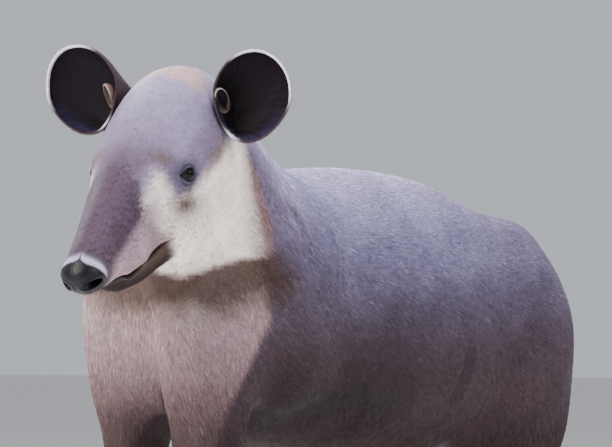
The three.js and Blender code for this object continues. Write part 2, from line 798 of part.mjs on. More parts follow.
function addNode(name, solid, { colour, roughness, metalness = 0 }) {
  const welded = solidOfGeometry(geometryOf(largest(solid)), new THREE.Matrix4(), WELD);
  const flat = geometryOf(largest(welded)).toNonIndexed();
  flat.computeVertexNormals();
  const material = new THREE.MeshStandardMaterial({ color: colour, roughness, metalness });
  const node = new THREE.Mesh(flat, material);
  node.name = name;
  group.add(node);
}

addNode('torso', trunk, COAT.dark);
addNode('neck', neck, COAT.neck);
addNode('head', head, COAT.face);
addNode('proboscis', snout, COAT.snout);
addNode('lower_jaw', lowerJawSolid, COAT.lip);
addNode('tail', tail, COAT.dark);
for (const [name, ear] of Object.entries(EARS)) addNode(`ear_${name}`, earSolid(ear), COAT.ear);
addNode('eye_left', eyeBall(1), COAT.eye);
addNode('eye_right', eyeBall(-1), COAT.eye);
for (const [name, leg] of Object.entries(LEGS)) {
  addNode(`leg_${name}`, legSolid(leg), COAT.leg);
  toesOf(leg).forEach((toe, n) => addNode(`hoof_${name}_${n + 1}`, hoofSolid(leg, toe), COAT.hoof));
}

// The floor is under the soles, and the middle of the whole is over the origin
const whole = new THREE.Box3().setFromObject(group);
const middle = whole.getCenter(new THREE.Vector3());
group.children.forEach((node) => node.geometry.translate(-middle.x, -middle.y, -whole.min.z));

export default group;
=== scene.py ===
import math

import bmesh
import bpy
import numpy as np
from mathutils import Matrix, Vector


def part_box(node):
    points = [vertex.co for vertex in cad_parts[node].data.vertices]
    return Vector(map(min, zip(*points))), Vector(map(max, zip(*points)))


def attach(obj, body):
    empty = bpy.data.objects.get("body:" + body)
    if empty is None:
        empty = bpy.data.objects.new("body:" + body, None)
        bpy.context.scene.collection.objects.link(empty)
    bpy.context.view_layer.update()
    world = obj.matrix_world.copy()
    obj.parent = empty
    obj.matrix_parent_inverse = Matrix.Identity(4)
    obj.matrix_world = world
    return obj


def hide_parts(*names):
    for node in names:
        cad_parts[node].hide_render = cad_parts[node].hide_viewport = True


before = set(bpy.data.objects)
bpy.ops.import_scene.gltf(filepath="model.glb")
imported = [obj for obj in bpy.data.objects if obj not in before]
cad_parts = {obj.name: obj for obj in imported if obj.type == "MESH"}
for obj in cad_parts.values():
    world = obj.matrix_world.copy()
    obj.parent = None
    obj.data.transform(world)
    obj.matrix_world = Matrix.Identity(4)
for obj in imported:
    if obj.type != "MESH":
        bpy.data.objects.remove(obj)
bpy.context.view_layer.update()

# Flesh: bone and muscle, the soft form that the hide lies over.
# It is drawn as elliptical tubes and ellipsoids that blend into one smooth shape, in millimetres in the
# body's own frame: it faces -Y, its left side is +X and the floor is z = 0.

# Trunk, seen from the side: distance behind the forelegs, back line, belly line, half width
TRUNK = [
    [-112, 715, 470, 114],
    [-46, 768, 420, 158],
    [50, 792, 372, 184],
    [180, 796, 342, 206],
    [350, 808, 328, 224],
    [520, 802, 328, 224],
    [640, 760, 352, 212],
    [742, 686, 420, 188],
    [828, 612, 476, 144],
]
# Neck, from the head to the trunk: middle line x, y, z, half width, half depth
NECK = [
    [84, -222, 833, 84, 104],
    [64, -160, 787, 104, 122],
    [30, -78, 723, 134, 146],
    [6, 20, 655, 152, 158],
]
# Tail: middle line x, y, z, half width, half depth
TAIL = [
    [0, 820, 622, 34, 30],
    [0, 896, 612, 26, 22],
    [0, 934, 578, 20, 16],
    [0, 948, 532, 13, 10],
]
# Head: the middle between the eyes, and its turn, pitch and roll in degrees
HEAD_PLACE = np.array([100.0, -338.0, 781.0])
HEAD_TURN, HEAD_PITCH, HEAD_ROLL = 9, 38, 2
# Skull with the snout, and jaw: distance ahead of the eyes, upper line, lower line, half width
SKULL = [
    [256, 17, -34, 29],
    [228, 28, -47, 33],
    [180, 40, -60, 39],
    [120, 52, -70, 48],
    [60, 62, -76, 60],
    [0, 74, -84, 72],
    [-62, 86, -92, 78],
    [-128, 80, -90, 70],
    [-180, 44, -72, 54],
]
JAW = [
    [190, -50, -80, 18],
    [167, -50, -97, 27],
    [132, -50, -113, 36],
    [75, -56, -128, 44],
    [0, -60, -146, 56],
    [-60, -50, -148, 60],
]
# Lumps of bone and muscle on the left of the head, in the head's own frame: middle, radii, turn
BROW = ([58, 30, 2], [20, 62, 22], [0, 0, -0.16])
CHEEK_BONE = ([60, 66, -34], [22, 66, 30], [0, 0, 0.05])
ORBIT = ([52, 6, -8], [22, 34, 26])
SNOUT_SIDE = ([28, -132, -48], [19, 64, 20], [0.1, 0, 0.13])
NOSE_PAD = ([0, -250, -10], [34, 14, 24])
CHEEK = ([46, -22, -78], [24, 58, 42])
JOWL = ([50, 10, -92], [26, 66, 50], [0.2, 0, 0])
# Lumps on the left of the body, and the level back: middle, radii, turn
SHOULDER = ([122, -16, 590], [68, 112, 160], [0.16, 0, 0])
HAUNCH = ([122, 690, 532], [86, 172, 152], [-0.12, 0, 0])
CHEST = ([62, -108, 545], [70, 56, 104], [0.1, 0, 0.2])
BACK = ([0, 320, 722], [90, 300, 74])
# Legs: out from the middle, behind the leg's own place, height, half width, half depth
FORELEG = [
    [100, 40, 680, 48, 96],
    [122, 10, 580, 64, 108],
    [132, 8, 480, 64, 100],
    [132, 8, 400, 53, 73],
    [130, 4, 325, 44, 56],
    [127, 0, 245, 40, 46],
    [125, 0, 165, 35, 38],
    [125, -6, 98, 37, 41],
    [125, -18, 48, 41, 48],
]
HINDLEG = [
    [90, -6, 655, 70, 116],
    [112, -16, 575, 84, 148],
    [126, -34, 480, 84, 174],
    [132, -36, 405, 74, 168],
    [131, -22, 342, 60, 128],
    [127, 8, 286, 46, 80],
    [122, 44, 230, 38, 54],
    [119, 42, 162, 32, 40],
    [118, 24, 98, 35, 41],
    [118, 8, 48, 39, 47],
]
# Each leg: its rows, side, spread, how far back it stands, how far its foot steps back
LEGS = {
    "fore_left": (FORELEG, 1, 0.73, -156, -34),
    "fore_right": (FORELEG, -1, 1, -34, -6),
    "hind_left": (HINDLEG, 1, 1, 732, 10),
    "hind_right": (HINDLEG, -1, 1, 722, -50),
}
# Toes of a left foot: outwards, forwards, turned out in degrees, size, height of the sole
FORE_TOES = [(2, 44, 0, 1.0, 0), (-31, 22, -16, 0.88, 0), (34, 20, 18, 0.88, 0), (45, -20, 34, 0.62, 9)]
HIND_TOES = [(0, 46, 0, 1.0, 0), (-33, 21, -16, 0.86, 0), (33, 21, 16, 0.86, 0)]
TOE_RADII, TOE_BACK, TOE_UP, TOE_LEAN = np.array([21, 30, 27]), 14, 30, 0.25
PAD_RADII, PAD_BACK, PAD_UP, PAD_SOFT = [32, 36, 30], 2, 22, 20
# Distances over which one lump blends into the next, softest first
SOFT, MUSCLE, HEAD_JOIN, LEG_JOIN, FIRM, TAIL_JOIN, RIDGE, LIP, PAD_JOIN = 70, 60, 46, 40, 34, 26, 24, 18, 12
# Rounding of the tubes' ends
TRUNK_CAP, NECK_CAP, SKULL_CAP, JAW_CAP, LEG_CAP, TAIL_CAP = 56, 60, 14, 12, 30, 10


def smooth_line(rows, count):
    """Points evenly shared out along a smooth curve through the rows"""
    rows = np.array(rows, float)
    ends = np.vstack([2 * rows[0] - rows[1], rows, 2 * rows[-1] - rows[-2]])
    at = np.linspace(0, len(rows) - 1, count + 1)
    n = np.minimum(at.astype(int), len(rows) - 2)
    w = (at - n)[:, None]
    before, a, b, after = ends[n], ends[n + 1], ends[n + 2], ends[n + 3]
    slope_a, slope_b = (b - before) / 2, (after - a) / 2
    curve = (2 * a - 2 * b + slope_a + slope_b) * w**3
    return curve + (3 * b - 3 * a - 2 * slope_a - slope_b) * w**2 + slope_a * w + a


def turned(x=0, y=0, z=0):
    """The three turning matrices about x, about y and about z"""
    cx, cy, cz = math.cos(x), math.cos(y), math.cos(z)
    sx, sy, sz = math.sin(x), math.sin(y), math.sin(z)
    about_x = np.array([[1, 0, 0], [0, cx, -sx], [0, sx, cx]])
    about_y = np.array([[cy, 0, sy], [0, 1, 0], [-sy, 0, cy]])
    about_z = np.array([[cz, -sz, 0], [sz, cz, 0], [0, 0, 1]])
    return about_x, about_y, about_z


def tube(rows, cap, steps=8):
    """Elliptical tube: rows are x, y, z, half width along x, half depth across it"""
    line = smooth_line(rows, (len(rows) - 1) * steps)
    reach = max(max(row[3:]) for row in rows)

    def distance(p):
        nearest = np.full(len(p), np.inf)
        last = len(line) - 2
        for n, (a, b) in enumerate(zip(line[:-1], line[1:])):
            along = b[:3] - a[:3]
            length = math.sqrt(along @ along)
            q = p - a[:3]
            raw = q @ along / length**2
            share = raw.clip(0, 1)
            q -= share[:, None] * along
            length_sq = (q * q).sum(1)
            end = q @ (along / length)
            x_sq = q[:, 0] ** 2
            across = (length_sq - end * end - x_sq).clip(0)
            width = a[3] + (b[3] - a[3]) * share
            depth = a[4] + (b[4] - a[4]) * share
            end_size = (width + depth) / 2
            if n == 0:
                end_size = np.where(raw < 0, cap, end_size)
            if n == last:
                end_size = np.where(raw > 1, cap, end_size)
            k = np.sqrt(x_sq / width**2 + across / depth**2 + (end / end_size) ** 2)
            out = np.sqrt(length_sq) * (1 - 1 / np.maximum(k, 1e-6))
            nearest = np.minimum(nearest, np.where(k < 1e-6, -np.minimum(width, depth), out))
        return nearest

    return line[:, :3].min(0) - reach, line[:, :3].max(0) + reach, distance


def ellipsoid(centre, radii, turn=(0, 0, 0)):
    """Ellipsoid turned by three angles"""
    about_x, about_y, about_z = turned(*turn)
    turning = about_x @ about_y @ about_z
    radii = np.array(radii, float)

    def distance(p):
        q = (p - np.array(centre)) @ turning
        k = np.sqrt(((q / radii) ** 2).sum(1))
        slope = np.sqrt(((q / radii**2) ** 2).sum(1))
        return k * (k - 1) / np.maximum(slope, 1e-9)

    return np.array(centre) - radii.max(), np.array(centre) + radii.max(), distance


def both_sides(shape):
    """The same shape on the left and the right"""
    low, high, distance = shape
    low, high = low.copy(), high.copy()
    low[0], high[0] = min(low[0], -high[0]), max(high[0], -low[0])
    return low, high, lambda p: distance(np.column_stack([np.abs(p[:, 0]), p[:, 1:]]))


def outside_box(p, low, high):
    """How far each point is from a box, nothing inside it"""
    return np.sqrt((np.maximum(np.maximum(low - p, p - high), 0) ** 2).sum(1))


def blend(*parts):
    """Smooth union: each shape comes with the distance over which it blends into those before it"""
    low = np.min([shape[0] for shape, soft in parts], 0)
    high = np.max([shape[1] for shape, soft in parts], 0)
    far = 110

    def distance(p):
        d = np.full(len(p), 1e4)
        for shape, soft in parts:
            gap = outside_box(p, shape[0], shape[1])
            near = (gap <= d + soft) & (gap < far)
            away = (gap <= d + soft) & ~near
            d[away] = np.minimum(d[away], gap[away])
            if not near.any():
                continue
            other, mine = shape[2](p[near]), d[near]
            h = (soft - np.abs(mine - other)).clip(0) / max(soft, 1)
            d[near] = np.minimum(mine, other) - h * h * soft / 4
        return d

    return low, high, distance


def side_rows(rows):
    """Rows of a level tube in the middle from place along y, upper line, lower line and half width"""
    return [[0, y, (top + bottom) / 2, width, (top - bottom) / 2] for y, top, bottom, width in rows]


def forward_rows(rows):
    """The same from distances ahead, as the head looks towards -Y"""
    return side_rows([[-ahead, *rest] for ahead, *rest in rows])


about_x, about_y, about_z = turned(*np.radians([HEAD_PITCH, HEAD_ROLL, HEAD_TURN]))
HEAD_TURNING = about_z @ about_x @ about_y


def to_head(p):
    """Body points as points of the head's own frame: nose -Y, crown +Z, left +X, eyes at its origin"""
    return (p - HEAD_PLACE) @ HEAD_TURNING


def from_head(p):
    return np.array(p) @ HEAD_TURNING.T + HEAD_PLACE


upper_head = blend(
    (tube(forward_rows(SKULL), SKULL_CAP), 0),
    (both_sides(ellipsoid(*BROW)), FIRM),
    (both_sides(ellipsoid(*CHEEK_BONE)), FIRM),
    (both_sides(ellipsoid(*ORBIT)), RIDGE),
    (both_sides(ellipsoid(*SNOUT_SIDE)), RIDGE),
    (ellipsoid(*NOSE_PAD), PAD_JOIN),
)
lower_jaw = blend(
    (tube(forward_rows(JAW), JAW_CAP), 0),
    (both_sides(ellipsoid(*JOWL)), FIRM),
)
whole_head = blend(
    (upper_head, 0),
    (lower_jaw, LIP),
    (both_sides(ellipsoid(*CHEEK)), FIRM),
)
head_corners = from_head([[x, y, z] for x in (-95, 95) for y in (-285, 215) for z in (-165, 105)])
placed_head = (head_corners.min(0), head_corners.max(0), lambda p: whole_head[2](to_head(p)))


def leg_rows(rows, side, spread, behind, step):
    """The rows of one leg where it stands, its foot stepped back"""
    top = rows[0][2]
    return [[side * spread * x, y + behind + step * (1 - z / top), z, w, d] for x, y, z, w, d in rows]


def toes_of(leg):
    """Each toe's place on the floor, heading and size"""
    x, y = leg_rows(*LEGS[leg])[-1][:2]
    side = LEGS[leg][1]
    for out, ahead, turn, size, raised in FORE_TOES if "fore" in leg else HIND_TOES:
        yield np.array([x + side * out, y - ahead, raised]), math.radians(turn) * side, size


def leg_form(leg):
    """A leg with the pad and the toes of its foot"""
    rows = leg_rows(*LEGS[leg])
    x, y = rows[-1][:2]
    parts = [(tube(rows, LEG_CAP), 0), (ellipsoid([x, y + PAD_BACK, PAD_UP], PAD_RADII), PAD_SOFT)]
    for at, heading, size in toes_of(leg):
        behind = np.array([-math.sin(heading) * TOE_BACK, math.cos(heading) * TOE_BACK, TOE_UP])
        parts.append((ellipsoid(at + behind * size, TOE_RADII * size, [TOE_LEAN, 0, heading]), PAD_JOIN))
    return blend(*parts)


flesh = blend(
    (tube(side_rows(TRUNK), TRUNK_CAP), 0),
    (both_sides(ellipsoid(*SHOULDER)), MUSCLE),
    (both_sides(ellipsoid(*HAUNCH)), MUSCLE),
    (both_sides(ellipsoid(*CHEST)), MUSCLE),
    (ellipsoid(*BACK), MUSCLE),
    (tube(NECK, NECK_CAP), SOFT),
    (placed_head, HEAD_JOIN),
    *((leg_form(leg), LEG_JOIN) for leg in LEGS),
    (tube(TAIL, TAIL_CAP), TAIL_JOIN),
)

# The frame has the middle of the whole animal over its origin, and the first hoof of the right forefoot
# tells how far off that is: its front edge stands this far ahead of its toe's place
HOOF_AHEAD = 23.5
first_toe = next(toes_of("fore_right"))[0]
toe_box = np.array(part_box("hoof_fore_right_1")) * 1000
SHIFT = np.array([first_toe[0] - toe_box[:, 0].mean(), first_toe[1] - HOOF_AHEAD - toe_box[0, 1], 0])


def placed(p):
    """Body points in millimetres as metres of the frame"""
    return (np.asarray(p) - SHIFT) / 1000


# Hide: the one skin of the whole animal, from the nose pad to the toes.
# Thin skin under a short coat, bare and leathery on the nose, lips and lids, wrinkled where it bends.
# It is drawn over the flesh, less the depth of the coat, and then worked round eyes, mouth and nostrils.
HIDE_CELL = 8


def halved(values):
    """The same grid with a new layer between every two"""
    for axis in range(3):
        v = np.moveaxis(values, axis, 0)
        finer = np.empty((2 * len(v) - 1, *v.shape[1:]))
        finer[::2] = v
        finer[1::2] = (v[1:] + v[:-1]) / 2
        values = np.moveaxis(finer, 0, axis)
    return values


def draw_shell(form, cell):
    """Corners and four-sided faces on the surface of a form, found coarsely first and then twice as finely"""
    low = form[0] - 30
    cell = cell * 4
    count = np.ceil((form[1] + 30 - low) / cell).astype(int) + 1
    values = form[2](low + np.indices(count).reshape(3, -1).T * cell).reshape(count)
    for _ in range(2):
        values = halved(values)
        near = np.argwhere(np.abs(values) < cell * 1.3)
        cell /= 2
        values[tuple(near.T)] = form[2](low + near * cell)
    cells = np.array(values.shape) - 1
    total = cells.prod()
    stride = np.array([cells[1] * cells[2], cells[2], 1])
    sums, hits, faces = np.zeros((total, 3)), np.zeros(total), []
    for axis in range(3):
        u, v = (axis + 1) % 3, (axis + 2) % 3
        here = np.moveaxis(values, axis, 0)
        a, b = np.moveaxis(here[:-1], 0, axis), np.moveaxis(here[1:], 0, axis)
        at = np.argwhere((a < 0) != (b < 0))
        start, end = a[tuple(at.T)], b[tuple(at.T)]
        spot = at.astype(float)
        spot[:, axis] += start / (start - end)
        around = []
        for du, dv in ((0, 0), (1, 0), (1, 1), (0, 1)):
            box = at.copy()
            box[:, u] -= du
            box[:, v] -= dv
            index = box @ stride
            around.append(index)
            hits += np.bincount(index, minlength=total)
            for n in range(3):
                sums[:, n] += np.bincount(index, spot[:, n], total)
        around = np.array(around).T
        around[start >= 0] = around[start >= 0][:, ::-1]
        faces.append(around)
    used = np.flatnonzero(hits)
    number = np.full(total, -1)
    number[used] = np.arange(len(used))
    return low + sums[used] / hits[used][:, None] * cell, number[np.vstack(faces)]


def new_mesh(name, corners, faces, smooth=True):
    """Mesh of faces that all have the same number of corners"""
    mesh = bpy.data.meshes.new(name)
    mesh.vertices.add(len(corners))
    mesh.vertices.foreach_set("co", np.ascontiguousarray(corners, dtype=np.float32).ravel())
    mesh.loops.add(faces.size)
    mesh.loops.foreach_set("vertex_index", np.ascontiguousarray(faces, dtype=np.int32).ravel())
    mesh.polygons.add(len(faces))
    mesh.polygons.foreach_set("loop_start", np.arange(0, faces.size, faces.shape[1], dtype=np.int32))
    mesh.polygons.foreach_set("use_smooth", np.full(len(faces), smooth))
    mesh.update(calc_edges=True)
    return mesh


def corners_of(mesh):
    flat = np.empty(len(mesh.vertices) * 3, np.float32)
    mesh.vertices.foreach_get("co", flat)
    return flat.reshape(-1, 3).astype(float)


def normals_of(mesh):
    flat = np.empty(len(mesh.vertices) * 3, np.float32)
    mesh.vertex_normals.foreach_get("vector", flat)
    return flat.reshape(-1, 3).astype(float)


def set_corners(mesh, corners):
    mesh.vertices.foreach_set("co", np.ascontiguousarray(corners, dtype=np.float32).ravel())
    mesh.update()


def refine(mesh, wanted):
    """Halves every edge with both ends in the wanted zone"""
    bm = bmesh.new()
    bm.from_mesh(mesh)
    edges = [e for e in bm.edges if wanted[e.verts[0].index] and wanted[e.verts[1].index]]
    bmesh.ops.subdivide_edges(bm, edges=edges, cuts=1, use_grid_fill=True)
    bm.to_mesh(mesh)
    bm.free()
    mesh.polygons.foreach_set("use_smooth", np.full(len(mesh.polygons), True))


def rise(value, start, end):
    """0 before start, 1 after end, smooth between"""
    t = ((value - start) / (end - start)).clip(0, 1)
    return t * t * (3 - 2 * t)


def bump_at(value, centre, half_width):
    """1 at the centre, falling off smoothly on both sides"""
    return np.exp(-(((value - centre) / half_width) ** 2))


# Eyes, in the head's own frame: way the left one faces, ball radius, how far it stands out, its opening
EYE_FACES, EYE_RADIUS, EYE_PROUD = (1, -0.3, 0.12), 15.5, 1.2
EYE_WIDTH, EYE_HEIGHT, EYE_TILT = 29, 20, -0.5


def unit(v):
    return np.asarray(v, float) / np.linalg.norm(v)


def eye_frame(side):
    """Middle of the ball, and the ways across to the nose, up and out, in the head's own frame"""
    way = unit([side * EYE_FACES[0], EYE_FACES[1], EYE_FACES[2]])
    start, reach = np.array([side * 20.0, 10, -9]), 0.0
    for _ in range(40):
        reach -= 0.7 * whole_head[2]((start + way * reach)[None])[0]
    middle = start + way * (reach + EYE_PROUD - EYE_RADIUS)
    across = np.array([0, -math.cos(EYE_TILT), -math.sin(EYE_TILT)])
    across = unit(across - way * (across @ way))
    return middle, across, np.cross(way, across) * -side, way


EYES = {"left": eye_frame(1), "right": eye_frame(-1)}


def eye_places(head_points, eye):
    """Points as seen at an eye: across towards the nose, up, out"""
    middle, across, up, way = eye
    q = head_points - middle
    return q @ across, q @ up, q @ way


def beyond_lids(u, v):
    """How far a point lies outside the almond opening, less than nothing inside it"""
    half, peak = EYE_WIDTH / 2, EYE_HEIGHT / 2
    lift = peak * (1 - np.abs(u / half) ** 2.4)
    slope = np.sqrt(1 + (2.4 * peak * u / half**2) ** 2)
    return np.maximum(v - lift, -v - lift) / slope


# How far ahead of the eyes the mouth's corner is
MOUTH_CORNER = 84


def mouth_line(ahead):
    """Height of the closed lips, which dip towards the chin"""
    return -51 - 23 * rise(-ahead, -188, -104) + 5 * rise(-ahead, -96, -78)


# Nostrils: out from the middle, ahead, height, radii, turn
NOSTRIL_OUT, NOSTRIL_AHEAD, NOSTRIL_UP = 22, 264, -10
NOSTRIL_RADII, NOSTRIL_TURN = (10, 21, 6.5), -0.25
# The soles' skin stays this far off the floor, which the hooves stand on
PAD_CLEAR = 2.2


def coat_depth(p):
    """How far the hide lies under the tips of the coat"""
    h = to_head(p)
    face = rise(-h[:, 1], -190, -60) * rise(140 - np.linalg.norm(h[:, [0, 2]], axis=1), -60, 0)
    snout = rise(-h[:, 1], 190, 235) * face
    return 3 - 1.8 * face - 0.9 * snout


def lay_on_flesh(mesh, rounds):
    """Moves the corners along their normals onto the flesh, less the coat"""
    for _ in range(rounds):
        p = corners_of(mesh)
        gap = flesh[2](p) + coat_depth(p)
        set_corners(mesh, p - normals_of(mesh) * gap.clip(-6, 6)[:, None])


def even_out(mesh, rounds):
    """Draws each corner towards the middle of its neighbours, which takes ripples out"""
    ends = np.empty(len(mesh.edges) * 2, np.int32)
    mesh.edges.foreach_get("vertices", ends)
    a, b = ends.reshape(-1, 2).T
    p = corners_of(mesh)
    count = np.bincount(a, minlength=len(p)) + np.bincount(b, minlength=len(p))
    for _ in range(rounds):
        mean = [np.bincount(a, p[b, n], len(p)) + np.bincount(b, p[a, n], len(p)) for n in range(3)]
        p += 0.5 * (np.array(mean).T / count[:, None] - p)
    set_corners(mesh, p)


def head_zone(h):
    """Box round the head, as yes or no for each point"""
    return (-h[:, 1] > -190) & (np.abs(h[:, 0]) < 140) & (np.abs(h[:, 2]) < 175)


def near_eyes(h, reach):
    zone = np.zeros(len(h), bool)
    for eye in EYES.values():
        zone |= np.linalg.norm(h - eye[0] - eye[3] * EYE_RADIUS, axis=1) < reach
    return zone


def near_mouth(h, reach, start, end):
    ahead = -h[:, 1]
    return (np.abs(h[:, 2] - mouth_line(ahead)) < reach) & (ahead > start) & (ahead < end)


# The shell is drawn coarsely, then its cells are halved on the head, and again round eyes, mouth and nose
corners, faces = draw_shell(flesh, HIDE_CELL)
hide_mesh = new_mesh("hide", corners, faces)
lay_on_flesh(hide_mesh, 2)
even_out(hide_mesh, 6)
refine(hide_mesh, head_zone(to_head(corners_of(hide_mesh))))
lay_on_flesh(hide_mesh, 1)
h = to_head(corners_of(hide_mesh))
refine(hide_mesh, near_eyes(h, 48) | near_mouth(h, 20, 60, 240) | (-h[:, 1] > 196))
lay_on_flesh(hide_mesh, 1)
h = to_head(corners_of(hide_mesh))
by_nose = (-h[:, 1] > 240) & (h[:, 2] < 12)
refine(hide_mesh, near_eyes(h, 24) | near_mouth(h, 8, 70, 235) | by_nose)
lay_on_flesh(hide_mesh, 2)


def shape_lids(h):
    """Lids over the eyeballs: the opening sinks behind the ball, and its edge stands on it"""
    for eye in EYES.values():
        u, v, w = eye_places(h, eye)
        here = (np.hypot(u, v) < 42) & (w > 0)
        u, v, w = u[here], v[here], w[here]
        out = beyond_lids(u, v)
        ball = np.sqrt((EYE_RADIUS**2 - u * u - v * v).clip(4))
        rim = ball + 0.3 + 1.5 * rise(out, 0, 1.4)
        w_new = w + (rim - w) * np.exp(-((out.clip(0) / 5.5) ** 2))
        w_new = np.where(out < 0, ball - 0.3 - 5 * rise(-out, 0, 1.5), w_new)
        above = rise(v, -2, 5)
        w_new -= 1.5 * bump_at(out, 6.5, 1.3) * above * rise(16 - np.abs(u), 0, 6)
        w_new += 1.2 * bump_at(out, 10, 3) * above * rise(20 - np.abs(u), 0, 8)
        below = (1 - above) * rise(17 - np.abs(u), 0, 8)
        w_new -= (bump_at(out, 5, 1.1) + 0.8 * bump_at(out, 9.5, 1.3)) * below
        h[here] += (w_new - w)[:, None] * eye[3]


def shape_mouth(h, n):
    """Line of the mouth with its two lips"""
    ahead, across = -h[:, 1], np.abs(h[:, 0])
    from_line = h[:, 2] - mouth_line(ahead)
    open_share = rise(ahead, MOUTH_CORNER - 8, MOUTH_CORNER + 14) * rise(-ahead, -232, -222)
    depth = 7 * bump_at(from_line, 0, 2.0) * open_share
    lips = 1.6 * bump_at(from_line, 6, 4) + 1.2 * bump_at(from_line, -6, 4)
    corner = 2.4 * bump_at(np.hypot(ahead - MOUTH_CORNER + 7, from_line), 0, 7)
    h -= n * (depth - lips * open_share - corner)[:, None]


def shape_nostrils(h):
    """Nostrils: the nose pad sinks back into each one"""
    for side in (1, -1):
        about_z = turned(0, 0, side * NOSTRIL_TURN)[2]
        q = (h - np.array([side * NOSTRIL_OUT, -NOSTRIL_AHEAD, NOSTRIL_UP])) @ about_z
        inside = (q[:, 0] / NOSTRIL_RADII[0]) ** 2 + (q[:, 2] / NOSTRIL_RADII[2]) ** 2
        back = np.sqrt((1 - inside).clip(0)) * NOSTRIL_RADII[1]
        here = (inside < 1) & (-h[:, 1] > 225)
        sink = np.zeros(len(h))
        sink[here] = (back[here] - q[here, 1]).clip(0)
        h += (sink[:, None] * np.array([0, 1, 0])) @ about_z.T
        rim = bump_at(np.sqrt(inside), 1.25, 0.22) * rise(-h[:, 1], 235, 250)
        h[:, 1] -= 1.2 * rim


# Folds where the loose hide bends, on both sides: their two ends as y and z, depth of the groove, half width
FOLDS = [
    ((47, 722), (41, 598), 6.5, 5.5),
    ((63, 700), (60, 612), 4.0, 5.5),
    ((416, 520), (432, 408), 7.0, 9.0),
    ((165, 432), (232, 352), 6.0, 6.0),
    ((-60, 742), (-20, 640), 3.5, 6.0),
]


def shape_folds(p, n):
    """Grooves in the loose hide of neck, elbow and flank, each with a low roll behind it"""
    for start, end, depth, half_width in FOLDS:
        start, end = np.array(start, float), np.array(end, float)
        along = end - start
        length = np.linalg.norm(along)
        q = p[:, 1:] - start
        share = q @ along / length**2
        aside = (q[:, 0] * along[1] - q[:, 1] * along[0]) / length
        aside = aside + 6 * np.sin(share * 5)
        ends = rise(share, -0.05, 0.25) * rise(-share, -1.05, -0.75) * rise(np.abs(p[:, 0]), 40, 100)
        groove = bump_at(aside, 0, half_width) - 0.6 * bump_at(aside, -1.9 * half_width, 1.3 * half_width)
        p -= n * (depth * groove * ends)[:, None]


p, n = corners_of(hide_mesh), normals_of(hide_mesh)
h, head_n = to_head(p), n @ HEAD_TURNING
shape_folds(p, n)
in_head = head_zone(h)
part, part_n = h[in_head], head_n[in_head]
shape_mouth(part, part_n)
shape_nostrils(part)
shape_lids(part)
p[in_head] = from_head(part)
p[:, 2] = p[:, 2].clip(PAD_CLEAR)
set_corners(hide_mesh, p)


def colour(red, green, blue):
    """A colour as a painter names it, 0 to 255 each, in linear light"""
    share = np.array([red, green, blue]) / 255
    return np.where(share <= 0.04045, share / 12.92, ((share + 0.055) / 1.055) ** 2.4)


# Colours of hair and bare skin, and of the painted sheen and painted shade laid over them
BODY_BROWN = colour(62, 48, 53)
UNDERSIDE_SHADE_BROWN = colour(46, 34, 38)
SHOULDER_BROWN = colour(66, 52, 55)
SKY_SHEEN_VIOLET = colour(112, 106, 134)
SKY_SHEEN_PALE = colour(150, 142, 166)
NECK_VIOLET = colour(98, 84, 106)
BORDER_ORANGE = colour(150, 112, 88)
THROAT_CREAM = colour(190, 166, 160)
CHEEK_CREAM = colour(255, 241, 228)
CHEST_BEIGE = colour(158, 134, 138)
CHEST_BROWN = colour(112, 88, 88)
LEG_BROWN = colour(48, 36, 36)
SNOUT_MAUVE = colour(78, 62, 76)
FOREHEAD_GREY = colour(130, 116, 144)
CROWN_RED = colour(172, 138, 132)
EYE_PATCH = colour(88, 82, 104)
LID_SKIN = colour(74, 70, 88)
SMUDGE = colour(96, 76, 66)
STRIPE_BROWN = colour(120, 98, 88)
SNOUT_RIM_HIGHLIGHT = colour(182, 178, 204)
NOSE_BLACK = colour(11, 8, 16)
LIP_DARK = colour(34, 25, 24)
MUZZLE_PINK = colour(166, 142, 151)
LIP_TAN = colour(66, 50, 41)
LIP_PINK = colour(150, 122, 122)
JAW_SHADOW_BROWN = colour(66, 49, 42)
EAR_DARK = colour(22, 16, 22)

# Edge of the pale throat and chest: height, and how far ahead of the neck's middle it runs
PALE_EDGE = np.array([
    [300, 118], [422, 101], [467, 71], [513, 36], [559, 22], [604, 30], [650, 50],
    [696, 76], [742, 93], [787, 110], [824, 142], [900, 190],
])
# Edge of the dark snout: height in the head's own frame, and how far ahead of the eyes it runs
SNOUT_EDGE = np.array([[-80, 92], [-60, 80], [-38, 98], [-15, 108], [17, 106], [38, 88], [60, 60]])
# Edge where the cream cheek ends and the painted shadow under the jaw begins, painted below the jaw's own
# lower edge towards the back: how far ahead of the eyes, how far below them
JAW_EDGE = np.array([
    [-90, 222], [-41, 196], [-12, 186], [24, 176], [50, 150], [75, 128], [135, 113], [206, 82],
])
# Small dark marks on the left cheek and snout in the head's own frame, and their size
FACE_SPOTS = [
    ((64, 30, -140), 4.5), ((70, -20, -70), 2.0), ((66, -48, -62), 2.2), ((74, 10, -84), 1.8),
    ((60, -96, -30), 1.8), ((56, -110, 4), 2.0), ((48, -128, -20), 1.6), ((70, 34, -96), 2.0),
    ((62, -70, -52), 1.6), ((58, -84, -64), 2.0),
]
# Ears, in the head's own frame: middle of the edge, root, way the long axis points, way the cup faces
EARS = {
    "left": ((134, 142, 36), (58, 152, -18), (0.2, 0.5, 0.84), (0.24, -0.78, 0.57)),
    "right": ((-144, 138, 50), (-58, 156, -20), (-0.39, 0.42, 0.82), (0, -0.8, 0.6)),
}


def wavy(p, size, seed):
    """Soft uneven pattern between -1 and 1, without a texture"""
    rng = np.random.default_rng(seed)
    total = np.zeros(len(p))
    for _ in range(5):
        way = rng.normal(size=3)
        way *= 2 * np.pi / (size * rng.uniform(0.7, 1.5) * np.linalg.norm(way))
        total += np.sin(p @ way + rng.uniform(0, 6.28) + 1.3 * np.sin(p @ np.roll(way, 1) * 0.7))
    return total / 3.2


def on_head(p):
    """1 on the head, 0 on the neck"""
    h = to_head(p)
    return rise(-h[:, 1] + 0.45 * h[:, 2], -205, -150) * rise(h[:, 2], -240, -195)


